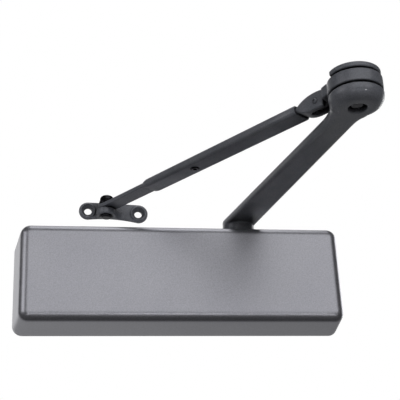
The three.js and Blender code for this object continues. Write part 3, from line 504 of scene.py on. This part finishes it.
def machined(name, dark, light, roughness, stretch, grain=900):
    """Bare or plated turned metal with fine tool marks."""
    finish = Finish(name, Metallic=1.0)
    lines = finish.stretched_noise(grain, stretch, 2)
    clouds = finish.noise(120, 3)
    base = finish.ramp(lines, (0.3, dark), (0.7, light))
    finish.colour(finish.mix(0.25, base, finish.ramp(clouds, (0.3, dark), (0.7, light))))
    finish.roughness(finish.range(clouds, roughness * 0.8, roughness * 1.25))
    finish.bumps((lines, 0.00008, 0.25))
    return finish.material


def cast_metal():
    """Grey painted casting with a fine sand texture, darkened by painted shade in its creases and
    recesses.
    """
    finish = Finish("painted_casting", Metallic=0.35)
    sand = finish.noise(700, 4, 0.65)
    clouds = finish.noise(35, 3)
    base = finish.ramp(sand, (0.3, (0.15, 0.155, 0.165)), (0.7, (0.25, 0.255, 0.27)))
    shade = finish.ramp(clouds, (0.35, (0.85, 0.85, 0.86)), (0.65, (1.0, 1.0, 1.0)))
    painted = finish.mix(1.0, base, shade, "MULTIPLY")
    # Painted shade: the casting colour is darkened where other surfaces lie within 20 mm.
    finish.colour(finish.painted_hollow_shade(painted, 0.02, 0.35))
    finish.roughness(finish.range(sand, 0.5, 0.7))
    finish.bumps((sand, 0.0003, 0.4), (finish.noise(120, 2), 0.0006, 0.25))
    return finish.material


def rubber():
    finish = Finish("black_rubber", Specular_IOR_Level=0.3)
    grain = finish.noise(1500, 3)
    finish.colour(finish.ramp(grain, (0.3, (0.010, 0.010, 0.011)), (0.7, (0.022, 0.022, 0.024))))
    finish.roughness(finish.range(grain, 0.6, 0.8))
    finish.bumps((grain, 0.0001, 0.3))
    return finish.material


AROUND = (1, 1, 12)
SILVER = silver_paint()
DARK_PAINT = arm_paint()
CASTING = cast_metal()
RUBBER = rubber()
STEEL = machined("turned_steel", (0.36, 0.36, 0.37), (0.52, 0.52, 0.53), 0.3, AROUND)
DARK_STEEL = machined("dark_plated_steel", (0.035, 0.035, 0.04), (0.075, 0.075, 0.082), 0.2, AROUND)
SPRING_STEEL = machined("oiled_spring_steel", (0.12, 0.12, 0.13), (0.2, 0.2, 0.21), 0.35, AROUND)
BRONZE = machined("sintered_bronze", (0.36, 0.24, 0.12), (0.5, 0.35, 0.19), 0.4, (1, 1, 1), 1400)
BRASS = machined("turned_brass", (0.5, 0.36, 0.14), (0.66, 0.49, 0.22), 0.28, AROUND)

BY_SLOT = {
    "silver_paint": SILVER, "arm_paint": DARK_PAINT, "cast_iron": CASTING, "steel": STEEL,
    "dark_steel": DARK_STEEL, "spring_steel": SPRING_STEEL, "bronze": BRONZE, "brass": BRASS,
    "rubber": RUBBER,
}
SLOT_OF = {part["node"]: part["material_slot"] for part in frame["record"]["subparts"]}
for node, part in frame["nodes"].items():
    part.data.materials.clear()
    part.data.materials.append(BY_SLOT[SLOT_OF[node]])


def fitted(body, name, place, rides, node, **options):
    """Sets a body down in place of one CAD node, with the material of that node's slot."""
    slot = SLOT_OF[node]
    return set_down(body, name, place, rides, slot, BY_SLOT[slot], node, **options)


# ---- Cover --------------------------------------------------------------------------------------

COVER_WALL = 2.0
COVER_CORNER = 9.5
COVER_FRONT_ROUND = 8.3
COVER_END_DRAFT = 7.0
COVER_NOTCH_RADIUS = 19.0
COVER_EDGE = 0.35
WALL_RINGS = 6
BEND_RINGS = 12


def cover_rings(inset):
    """Rings of the cover's outer or inner skin, from the open back to the flat front."""
    low, high = extent("cover", BODY)
    length = high.x - low.x
    height = high.z - low.z
    depth = -low.y
    bend_radius = COVER_FRONT_ROUND - inset
    front = depth - inset
    stations = [(front * k / WALL_RINGS * (front - bend_radius) / front, 0.0)
                for k in range(WALL_RINGS)]
    for k in range(BEND_RINGS + 1):
        angle = math.pi / 2 * k / BEND_RINGS
        stations.append((front - bend_radius + bend_radius * math.sin(angle),
                         bend_radius * (1 - math.cos(angle))))
    rings = []
    for at_depth, drawn_in in stations:
        shrink = inset + drawn_in
        outline = rounded_rectangle(
            length - 2 * shrink, height - 2 * shrink, COVER_CORNER - shrink * 0.98, 12)
        lean = (length / 2 - COVER_END_DRAFT * at_depth / depth) / (length / 2)
        rings.append([(point.x * lean, -at_depth, point.y) for point in outline])
    return rings


def cover():
    outside = cover_rings(0)
    inside = cover_rings(COVER_WALL)
    shell = lofted(list(reversed(outside)) + inside)
    shaft = PINION_PLACE / MM
    notch = arc((shaft.x, shaft.y), COVER_NOTCH_RADIUS, 180, 360, 40)
    notch += [(shaft.x + COVER_NOTCH_RADIUS, 30), (shaft.x - COVER_NOTCH_RADIUS, 30)]
    shell = bevelled(carved(shell, raised(notch, 4, 80)), COVER_EDGE, 50)
    fitted(shell, "cover_shell", BODY, "housing", "cover", sharp=45)


# ---- Main arm -----------------------------------------------------------------------------------

ARM_BOTTOM = 56.0
ARM_TOP = 62.6
ARM_EDGE = 2.6
# The arm thickens from the hub to the elbow: its underside falls by this much.
ARM_FALL = 2.8
ARM_HUB_HALF_WIDTH = 15.2
ARM_ELBOW_HALF_WIDTH = 10.9
# The neck widens from the bar to a point of the eye's rim, NECK_ANGLE degrees round from +X.
NECK_LENGTH = 40
NECK_HANDLE = 19
NECK_ANGLE = 128
NECK_SLOPE = 0.9
EYE_BOTTOM = ARM_BOTTOM - ARM_FALL
EYE_ROUND = 8.0
RECESS_RADIUS = 7.1
RECESS_TOP = 60.8
PIN_HOLE_RADIUS = 6.3
ARM_SCREW_HOLE_RADIUS = 4.6
SOCKET_HALF = 6.8


def eased(value, low, high):
    """0 below low, 1 above high, smooth between."""
    part = min(max((value - low) / (high - low), 0), 1)
    return part * part * (3 - 2 * part)


def width_at(outline, x):
    """Half width of a symmetrical outline, given as points with rising x."""
    for (x0, y0), (x1, y1) in zip(outline, outline[1:]):
        if x <= x1:
            return y0 + (y1 - y0) * max(x - x0, 0) / (x1 - x0)
    return 0


def arm_bar(side, arm_length):
    """The flat bar, from the hub into the eye, with its underside falling toward the elbow."""
    outline = side[1:] + [(arm_length - 6, 6), (arm_length - 6, -6)]
    outline += [(x, -y) for x, y in reversed(side)]
    outline += arc((0, 0), ARM_HUB_HALF_WIDTH, 270, 90, 24)[1:-1] + side[:1]
    bar = raised(outline, ARM_BOTTOM, ARM_TOP, ARM_EDGE, 5)
    for vertex in bar.data.vertices:
        if vertex.co.z < (ARM_BOTTOM + ARM_TOP) / 2:
            vertex.co.z -= ARM_FALL * vertex.co.x / arm_length
    return bar


def arm_hub(radius, bottom):
    return turned(softened(
        [(0, bottom), (radius, bottom, 1.2), (radius, ARM_TOP, 6.0), (0, ARM_TOP)],
        closed=False, steps=10))


def arm_eye(radius, top):
    return turned(softened(
        [(0, EYE_BOTTOM), (radius, EYE_BOTTOM, 9.4), (radius, top, 0.9), (0, top)],
        closed=False, steps=12), 128)


def main_arm():
    """The forging is melted twice: once to round the neck into the eye, once to fillet it."""
    low, high = extent("main_arm", ARM)
    eye_radius = high.y
    arm_length = high.x - eye_radius
    neck_start = arm_length - NECK_LENGTH
    neck_end = (arm_length + eye_radius * math.cos(math.radians(NECK_ANGLE)),
                eye_radius * math.sin(math.radians(NECK_ANGLE)))
    side = [(0, ARM_HUB_HALF_WIDTH), (neck_start, ARM_ELBOW_HALF_WIDTH)]
    side += bend(side[-1], (neck_start + NECK_HANDLE, ARM_ELBOW_HALF_WIDTH), neck_end)

    body = joined(arm_bar(side, arm_length), arm_hub(-low.x, low.z),
                  moved(arm_eye(eye_radius, high.z), arm_length, 0, 0))
    body = cast(body, 0.7, 0)
    for vertex in body.data.vertices:
        x, y, z = vertex.co
        if x < neck_start - 10:
            continue
        inward = eye_radius - math.hypot(x - arm_length, y)
        if x < neck_end[0]:
            inward = max(inward, NECK_SLOPE * (width_at(side, x) - abs(y)))
        rounding = ARM_EDGE + (EYE_ROUND - ARM_EDGE) * eased(x, neck_start, neck_end[0] + 6)
        across = min(max(rounding - inward, 0), rounding)
        rise = rounding - math.sqrt(rounding ** 2 - across ** 2)
        under = ARM_BOTTOM - ARM_FALL * min(x / arm_length, 1)
        vertex.co.z = max(z, min(under + rise, ARM_TOP - 1.5))

    recess = turned(softened(
        [(0, EYE_BOTTOM - 3), (10.4, EYE_BOTTOM - 3), (7.6, EYE_BOTTOM + 0.1, 0.8),
         (7.2, EYE_BOTTOM + 1.2), (RECESS_RADIUS, RECESS_TOP), (0, RECESS_TOP)], closed=False))
    body = cast(carved(body, moved(recess, arm_length, 0, 0)), 0.55, 7)
    pin_hole = moved(disc(PIN_HOLE_RADIUS, ARM_BOTTOM + 3, high.z + 3, 0), arm_length, 0, 0)
    screw_hole = disc(ARM_SCREW_HOLE_RADIUS, ARM_BOTTOM, ARM_TOP + 3, 0)
    socket = block((-SOCKET_HALF, -SOCKET_HALF, low.z - 2), (SOCKET_HALF, SOCKET_HALF, 60.3), 0.4)
    body = carved(body, pin_hole, screw_hole, socket)
    fitted(body, "main_arm_forging", ARM, "arm", "main_arm", sharp=50)


# ---- Elbow --------------------------------------------------------------------------------------

KNUCKLE_TOP = 76.8
LUG_HALF = 3.0
FORK_SWING_RADIUS = 10.5


def elbow_pin():
    low, high = extent("elbow_pin", ELBOW)
    profile = softened([(0, low.z), (4.4, low.z + 0.1, 2.0), (6.7, low.z + 1.3, 1.2),
                        (6.7, low.z + 4.9, 0.2), (6, low.z + 4.9), (6, high.z, 0.7), (0, high.z)],
                       closed=False)
    head = turned(profile)
    fitted(head, "elbow_pin_turned", ELBOW, "arm", "elbow_pin")


def elbow_washer(node, name, rides, flat=None):
    """A ring on the elbow pin, cut off at flat where one is given."""
    place = ELBOW if flat is None else KNUCKLE
    low, high = extent(node, place)
    radius = high.y
    washer = ring(PIN_HOLE_RADIUS, radius, low.z, high.z, 0.3, 128)
    if flat is not None:
        washer = carved(washer, block((flat, -40, low.z - 2), (60, 40, high.z + 2), 0.05))
    fitted(washer, name, place, rides, node)


def elbow_cap():
    low, high = extent("elbow_cap", KNUCKLE)
    radius = high.y
    flat = high.x
    profile = softened([(PIN_HOLE_RADIUS, low.z, 0.3), (radius, low.z, 1.3),
                        (radius, high.z, 1.2), (PIN_HOLE_RADIUS, high.z, 0.3)], steps=6)
    cap = carved(turned(profile, 144), block((flat, -40, low.z - 3), (60, 40, high.z + 3), 0.05))
    fitted(bevelled(cap, 0.35, 50, 3), "elbow_cap_plate", KNUCKLE, "knuckle", "elbow_cap", sharp=50)


def elbow_nut():
    low, high = extent("elbow_nut", ELBOW)
    nut = hexagon(19, low.z, high.z, 0.5)
    nut = carved(nut, disc(6.2, low.z - 2, high.z + 2, 0))
    fitted(nut, "elbow_lock_nut", ELBOW, "arm", "elbow_nut")


def knuckle():
    low, high = extent("knuckle", KNUCKLE)
    radius = -low.x
    bottom = low.z
    top = KNUCKLE_TOP
    pin = KNUCKLE.inverted() @ FOREARM.translation / MM
    half = LUG_HALF
    lug_height = high.x - pin.x
    body = turned(softened([(0, bottom), (radius, bottom, 1.1), (radius, top, 1.0), (0, top)],
                           closed=False, steps=6), 144)
    neck = [(12, -15.5), (23.6, -12.3, 1.2), (25.3, -half - 2, 1.0), (27, -half, 0.8), (pin.x, -half),
            (pin.x, half), (27, half, 0.8), (25.3, half + 2, 1.0), (23.6, 12.3, 1.2), (12, 15.5)]
    shoulder = raised(softened(neck), pin.z - lug_height, pin.z + lug_height, 0.8, 3)
    lug = along_y(disc(lug_height, -half, half, 0.5))
    clear = disc(21.5, top + 0.01, top + 6, 0, 144)
    body = joined(body, shoulder, moved(lug, pin.x, 0, pin.z))
    body = cast(carved(body, clear), 0.4, 3)
    bore = disc(8.3, bottom - 2, top + 2, 0)
    pin_bore = moved(along_y(disc(2.7, -20, 20, 0)), pin.x, 0, pin.z)
    swings = [moved(along_y(disc(FORK_SWING_RADIUS, y, y + 9, 0.3)), pin.x, 0, pin.z)
              for y in (half, -half - 9)]
    body = carved(body, bore, pin_bore, *swings)
    fitted(body, "knuckle_forging", KNUCKLE, "knuckle", "knuckle", sharp=50)


def elbow_bushing():
    low, high = extent("elbow_bushing", KNUCKLE)
    bush = ring(PIN_HOLE_RADIUS, high.y, low.z, high.z, 0.2)
    fitted(bush, "elbow_bush", KNUCKLE, "knuckle", "elbow_bushing")


# ---- Forearm ------------------------------------------------------------------------------------

TUBE_WALL = 1.4
ROD_HALF_WIDTH = 7.6


def fork():
    low, high = extent("fork", FOREARM)
    width = high.y - low.y
    rear = low.x
    shank_start, shank_end, shank = 19.4, high.x, 2.25
    outline = [(rear, -5.2)] + bend((rear, -5.2), (rear, -6.9), (rear + 1.8, -6.9), 6)
    outline += [(5, -6.9)] + bend((5, -6.9), (14, -6.4), (shank_start, -shank))
    outline += [(shank_end, -shank), (shank_end, shank), (shank_start, shank)]
    outline += bend((shank_start, shank), (10, 9), (-4, 7.8))
    outline += bend((-4, 7.8), (rear, 7.8), (rear, 6), 8)
    plate = stood_up(raised(outline, -width / 2, width / 2, 1.3, 4))
    slot = raised([(-20, -3.4)] + arc((5.6, 0), 3.4, -90, 90, 16) + [(-20, 3.4)], -12, 12)
    body = cast(carved(plate, slot), 0.38, 3)
    pin_hole = along_y(disc(2.65, -20, 20, 0))
    fitted(carved(body, pin_hole), "fork_forging", FOREARM, "forearm", "fork", sharp=50)


def tilt_pin():
    low, high = extent("tilt_pin", FOREARM)
    radius = high.z
    profile = softened([(0, low.y), (radius * 0.55, low.y, 0.5), (radius, low.y + 0.9, 0.6),
                        (radius, high.y - 0.9, 0.6), (radius * 0.55, high.y, 0.5), (0, high.y)],
                       closed=False)
    dimple = disc(0.9, low.y - 1, low.y + 0.7, 0.3, 48)
    other = disc(0.9, high.y - 0.7, high.y + 1, 0.3, 48)
    pin = along_y(carved(turned(profile, 64), dimple, other))
    fitted(pin, "tilt_rivet", FOREARM, "forearm", "tilt_pin")


def forearm_tube():
    low, high = extent("forearm_tube", FOREARM)
    width, height = high.y - low.y, high.z - low.z
    start, finish = low.x, high.x
    swage = 7.0
    stations = [(start, 0.35), (start + 0.4, 0.0), (start + 30, 0.0), (start + 90, 0.0),
                (finish - swage - 1.5, 0.0)]
    for k in range(1, 9):
        t = k / 8
        stations.append((finish - swage + (swage - 0.3) * t, 1.0 * t * t))
    stations.append((finish, 1.15))
    outside = [[(x, point.x, point.y) for point in
                rounded_rectangle(width - 2 * d, height - 2 * d, 2.9 - d * 0.8, 8)]
               for x, d in stations]
    inside = [[(x, point.x, point.y) for point in
               rounded_rectangle(width - 2 * (TUBE_WALL + min(d, 0.0)), height - 2 * TUBE_WALL, 1.4, 8)]
              for x, d in ((start, 0), (start + 60, 0), (finish - swage, 0), (finish, 0))]
    tube = lofted(outside + list(reversed(inside)), capped=False)
    shape = bmesh.new()
    shape.from_mesh(tube.data)
    count = len(outside[0])
    shape.verts.ensure_lookup_table()
    total = len(shape.verts)
    for i in range(count):
        j = (i + 1) % count
        shape.faces.new((shape.verts[j], shape.verts[i], shape.verts[total - count + i],
                         shape.verts[total - count + j]))
    bmesh.ops.recalc_face_normals(shape, faces=shape.faces)
    shape.to_mesh(tube.data)
    shape.free()
    screw = FOREARM.inverted() @ joint_place("clamp_screw_turn") / MM
    hole = turned(softened([(0, -20), (4.5, -20), (4.5, low.z - 0.2), (3.7, low.z + 0.7),
                            (3.7, 0), (0, 0)], closed=False), 64)
    tube = carved(tube, moved(hole, screw.x, 0, 0))
    fitted(tube, "forearm_channel", FOREARM, "forearm", "forearm_tube", sharp=45)


def clamp_screw():
    low, high = extent("clamp_screw", FOREARM)
    radius = high.y
    middle = (low.x + high.x) / 2
    body = carved(disc(radius, low.z, high.z, 0.35, 64), hexagon(3.2, low.z - 1, low.z + 1.6, 0.15))
    body = moved(body, middle, 0, 0)
    fitted(body, "clamp_grub_screw", FOREARM, "clamp_screw", "clamp_screw")


def forearm_rod():
    low, high = extent("forearm_rod", FOREARM)
    stud = FOREARM.inverted() @ STUD_PLACE / MM
    half_width = ROD_HALF_WIDTH
    eye_radius = high.x - stud.x
    outline = [(low.x, half_width), (low.x, -half_width), (stud.x - 5, -half_width)]
    outline += bend(outline[-1], (stud.x - 2.5, -eye_radius + 0.2), (stud.x, -eye_radius), 5)
    outline += arc((stud.x, 0), eye_radius, -90, 90, 30)[1:]
    outline += bend((stud.x, eye_radius), (stud.x - 2.5, eye_radius - 0.2), (stud.x - 5, half_width), 5)
    bar = raised(outline, low.z, high.z, 0.7, 4)
    hole = moved(disc(4.7, low.z - 2, high.z + 2, 0), stud.x, 0, 0)
    fitted(carved(bar, hole), "forearm_flat_rod", FOREARM, "rod", "forearm_rod", sharp=50)


# ---- Frame shoe ---------------------------------------------------------------------------------

HOLE_HEIGHT = -1.6
LOBES = ((-17.7, 8.9), (31.7, 9.4))


def shoe_outline(inset):
    (left, left_radius), (right, right_radius) = LOBES
    left_radius -= inset
    right_radius -= inset
    middle = (left + right) / 2
    z = HOLE_HEIGHT
    outline = arc((left, z), left_radius, 90, 270, 24)
    outline += bend(outline[-1], (middle, z - left_radius + 4), (right, z - right_radius), 24)
    outline += arc((right, z), right_radius, -90, 90, 24)[1:]
    outline += bend(outline[-1], (middle, z + right_radius), (left, z + left_radius), 24)[:-1]
    return outline


def shoe():
    back = extent("shoe", SHOE)[1].y
    front = back - 4.8
    shelf_bottom, shelf_top, shelf_radius = -9.2, -2.8, 9.5
    plate = stood_up(raised(shoe_outline(0), -back + 1.4, -front, 0.9, 3))
    pad = stood_up(raised(shoe_outline(1.8), -back, -back + 3, 0.4, 3))
    nose = [(-shelf_radius, front + 2), (-shelf_radius, 0)]
    nose += arc((0, 0), shelf_radius, 180, 360, 30)[1:]
    nose += bend((shelf_radius, 0), (shelf_radius + 1, front - 2), (shelf_radius + 9, front), 10)
    nose += [(shelf_radius + 9, front + 2)]
    shelf = raised(nose, shelf_bottom, shelf_top, 0.9, 3)
    body = joined(plate, pad, shelf)
    for x, lobe in LOBES:
        boss = turned(softened([(0, front - 1.1), (lobe - 1.7, front - 1.1, 0.5),
                                (lobe - 0.7, front + 1), (0, front + 1)], closed=False))
        body = joined(body, moved(along_y(boss), x, 0, HOLE_HEIGHT))
    hollow = disc(9.3, shelf_top, 20, 0.0)
    under = turned(softened([(0, shelf_bottom - 2), (7.2, shelf_bottom - 2),
                             (6.6, shelf_bottom + 0.7, 0.5), (0, shelf_bottom + 0.7)], closed=False))
    body = cast(carved(body, hollow, under), 0.4, 4)
    cuts = [disc(4.3, shelf_bottom - 2, shelf_top + 2, 0)]
    for x, lobe in LOBES:
        sink = turned(softened([(0, front - 4), (6.7, front - 4), (6.4, front - 0.7, 0.4),
                                (6.2, front - 0.3, 0.4), (3.7, front + 2.2, 0.3), (3.7, back + 2),
                                (0, back + 2)], closed=False))
        cuts.append(moved(along_y(sink), x, 0, HOLE_HEIGHT))
    fitted(carved(body, *cuts), "shoe_casting", SHOE, "shoe", "shoe", sharp=45)


def shoe_stud():
    low, high = extent("shoe_stud", SHOE)
    profile = softened([(0, low.z), (4.2, low.z, 0.8), (5.8, low.z + 0.9, 0.4), (5.8, low.z + 1.8, 0.2),
                        (4, low.z + 1.8), (4, high.z, 0.5), (0, high.z)], closed=False)
    fitted(turned(profile), "shoe_stud_turned", SHOE, "shoe", "shoe_stud")


def shoe_washer():
    low, high = extent("shoe_washer", SHOE)
    fitted(ring(4.3, high.x, low.z, high.z, 0.25), "shoe_flat_washer", SHOE, "shoe", "shoe_washer")


def shoe_nut():
    low, high = extent("shoe_nut", SHOE)
    foot = high.x
    crown = foot - 0.6
    skirt = low.z + 3.4
    profile = [(0, low.z), (foot - 0.5, low.z), (foot, low.z + 0.5), (foot, low.z + 1.0)]
    profile += [(crown + 0.1, low.z + 2.0), (crown, skirt)]
    for k in range(1, 17):
        angle = math.pi / 2 * k / 16
        reach = crown * math.cos(angle) ** 0.7 if k < 16 else 0
        profile.append((reach, skirt + (high.z - 0.1 - skirt) * math.sin(angle) ** 0.9))
    fitted(turned(profile), "shoe_dome_nut", SHOE, "shoe", "shoe_nut")


cover()
main_arm()
elbow_pin()
elbow_washer("lower_elbow_washer", "lower_elbow_ring", "arm")
elbow_washer("upper_elbow_washer", "upper_elbow_ring", "knuckle",
             extent("upper_elbow_washer", KNUCKLE)[1].x)
elbow_cap()
elbow_nut()
knuckle()
elbow_bushing()
fork()
tilt_pin()
forearm_tube()
clamp_screw()
forearm_rod()
shoe()
shoe_stud()
shoe_washer()
shoe_nut()


# ---- The body behind the cover ------------------------------------------------------------------

BEHAVIOUR = frame["record"]["behaviour"]
BODY_OF = {node: name for name, nodes in BEHAVIOUR["bodies"].items() for node in nodes}


def copy_of(node):
    """The shape of one CAD node as a new body, in millimetres."""
    body = frame["nodes"][node].copy()
    body.data = body.data.copy()
    body.modifiers.clear()
    body.data.transform(body.matrix_world)
    body.parent = None
    body.matrix_world = Matrix.Identity(4)
    body.data.transform(Matrix.Scale(1 / MM, 4))
    bpy.context.scene.collection.objects.link(body)
    return body


def refined(node, name, width, voxel=0, passes=3, sharp=40):
    """A CAD solid with its edges rounded by width, or melted into a cast skin where a voxel size
    is given."""
    body = copy_of(node)
    if voxel:
        body = cast(body, voxel, passes)
    else:
        body = bevelled(body, width, 35, 2)
    return fitted(body, name, BODY, BODY_OF[node], node, sharp=sharp)


refined("closer_body", "closer_casting", 0, 1.2, 3, 60)
for part, edge in (("head_plug", 0.5), ("spring_plug", 0.5), ("upper_bearing_nut", 0.4),
                   ("lower_bearing_nut", 0.4), ("upper_bearing", 0.15), ("lower_bearing", 0.15),
                   ("adjusting_screw", 0.25), ("arm_washer", 0.2), ("arm_screw", 0.35),
                   ("sweep_valve", 0.15), ("latch_valve", 0.15), ("backcheck_valve", 0.15),
                   ("upper_left_cover_clip", 0.2), ("upper_right_cover_clip", 0.2),
                   ("lower_left_cover_clip", 0.2), ("lower_right_cover_clip", 0.2)):
    refined(part, part + "_finished", edge)


def main_spring():
    """The coil, copied from its CAD node with its edges rounded, on a mesh of its own."""
    coil = refined("main_spring", "main_spring_coil", 0.3)
    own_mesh(coil)


main_spring()


# ---- Studio -------------------------------------------------------------------------------------

BACKDROP_LIGHT = 0.42
ROOM_LIGHT = 0.05
FLOOR_HEIGHT = -0.75
FLOOR_REACH = 4.0
FLOOR_GLOW = 0.75


def area_light(name, place, target, size, power):
    data = bpy.data.lights.new(name, "AREA")
    data.shape = "RECTANGLE"
    data.size, data.size_y = size
    data.energy = power
    lamp = bpy.data.objects.new(name, data)
    lamp.location = place
    lamp.rotation_euler = (Vector(target) - Vector(place)).to_track_quat("-Z", "Y").to_euler()
    bpy.context.scene.collection.objects.link(lamp)


def direction_part(links, nodes, source, low, high, from_low, from_high):
    part = nodes.new("ShaderNodeMapRange")
    part.interpolation_type = "SMOOTHSTEP"
    part.inputs["From Min"].default_value = from_low
    part.inputs["From Max"].default_value = from_high
    part.inputs["To Min"].default_value = low
    part.inputs["To Max"].default_value = high
    links.new(source, part.inputs["Value"])
    return part.outputs["Result"]


def world():
    """White to the eye. The light it gives comes from a pale backdrop behind the closer; the
    floor, the ceiling and the sides of the room are dim."""
    room_world = bpy.data.worlds.new("studio")
    bpy.context.scene.world = room_world
    room_world.use_nodes = True
    nodes = room_world.node_tree.nodes
    links = room_world.node_tree.links
    backdrop = nodes["Background"]
    backdrop.inputs["Color"].default_value = (1, 1, 1, 1)
    room = nodes.new("ShaderNodeBackground")
    axes = nodes.new("ShaderNodeSeparateXYZ")
    links.new(nodes.new("ShaderNodeTexCoord").outputs["Generated"], axes.inputs["Vector"])
    behind = direction_part(links, nodes, axes.outputs["Y"], 0, BACKDROP_LIGHT, 0.35, 0.85)
    leftward = direction_part(links, nodes, axes.outputs["X"], 1.25, 0.75, -0.2, 0.5)
    product = nodes.new("ShaderNodeMath")
    product.operation = "MULTIPLY"
    links.new(behind, product.inputs[0])
    links.new(leftward, product.inputs[1])
    total = nodes.new("ShaderNodeMath")
    total.operation = "ADD"
    total.inputs[1].default_value = ROOM_LIGHT
    links.new(product.outputs["Value"], total.inputs[0])
    links.new(total.outputs["Value"], room.inputs["Strength"])
    seen = nodes.new("ShaderNodeLightPath")
    mix = nodes.new("ShaderNodeMixShader")
    links.new(seen.outputs["Is Camera Ray"], mix.inputs["Fac"])
    links.new(room.outputs["Background"], mix.inputs[1])
    links.new(backdrop.outputs["Background"], mix.inputs[2])
    links.new(mix.outputs["Shader"], nodes["World Output"].inputs["Surface"])


def floor():
    """A pale sheet below the closer. It glows, and neither lights nor shows in the closer."""
    mesh = bpy.data.meshes.new("floor")
    reach, height = FLOOR_REACH, FLOOR_HEIGHT
    mesh.from_pydata([(-reach, -reach, height), (reach, -reach, height),
                      (reach, reach, height), (-reach, reach, height)], [], [(0, 1, 2, 3)])
    ground = bpy.data.objects.new("floor", mesh)
    bpy.context.scene.collection.objects.link(ground)
    finish = Finish("pale_floor", Roughness=0.8)
    pale = finish.ramp(finish.noise(6, 3), (0.3, (0.74, 0.74, 0.74)), (0.7, (0.78, 0.78, 0.78)))
    finish.colour(pale)
    finish.link(pale, finish.shader.inputs["Emission Color"])
    finish.shader.inputs["Emission Strength"].default_value = FLOOR_GLOW
    mesh.materials.append(finish.material)
    ground.visible_glossy = False
    ground.visible_diffuse = False


def studio():
    area_light("key_softbox", (0.28, -1.6, 0.58), (0, 0, 0), (2.4, 1.15), 9.3)
    for name, x, width in (("left", -0.42, 0.10), ("middle", 0.12, 0.12), ("right", 0.62, 0.10)):
        area_light(f"low_{name}_strip", (x, -1.4, -0.52), (0, 0, 0), (width, 0.04), 1.0)
    area_light("left_fill", (-1.5, -0.7, 0.4), (0, 0, 0), (0.9, 0.9), 4)
    area_light("back_softbox", (0.2, 1.4, 0.9), (0, 0, 0), (1.2, 0.8), 6)
    area_light("back_left_fill", (-0.7, 1.3, 0.45), (0, 0, 0), (0.9, 0.8), 1.2)
    area_light("back_right_fill", (1.3, 0.9, 0.35), (0, 0, 0), (0.8, 0.8), 5)
    area_light("overhead_softbox", (0.1, -0.1, 1.7), (0, -0.1, 0), (1.4, 1.1), 7)
    world()
    floor()
    bpy.context.scene.view_settings.view_transform = "Standard"


def camera():
    """Looks at the closer from below and from its left end, with a long lens."""
    yaw, pitch, roll = 0.1709, 0.4158, -0.0488
    ahead = Vector((math.sin(yaw) * math.cos(pitch), math.cos(yaw) * math.cos(pitch),
                    math.sin(pitch)))
    level_right = ahead.cross(UP).normalized()
    level_up = level_right.cross(ahead)
    right = math.cos(roll) * level_right + math.sin(roll) * level_up
    upward = math.cos(roll) * level_up - math.sin(roll) * level_right
    data = bpy.data.cameras.new("camera")
    data.lens = 89.22
    data.clip_start = 0.01
    view = bpy.data.objects.new("camera", data)
    view.matrix_world = Matrix((right, upward, -ahead)).transposed().to_4x4()
    view.location = (-0.12876, -0.90128, -0.30827)
    bpy.context.scene.collection.objects.link(view)
    bpy.context.scene.camera = view


studio()
camera()
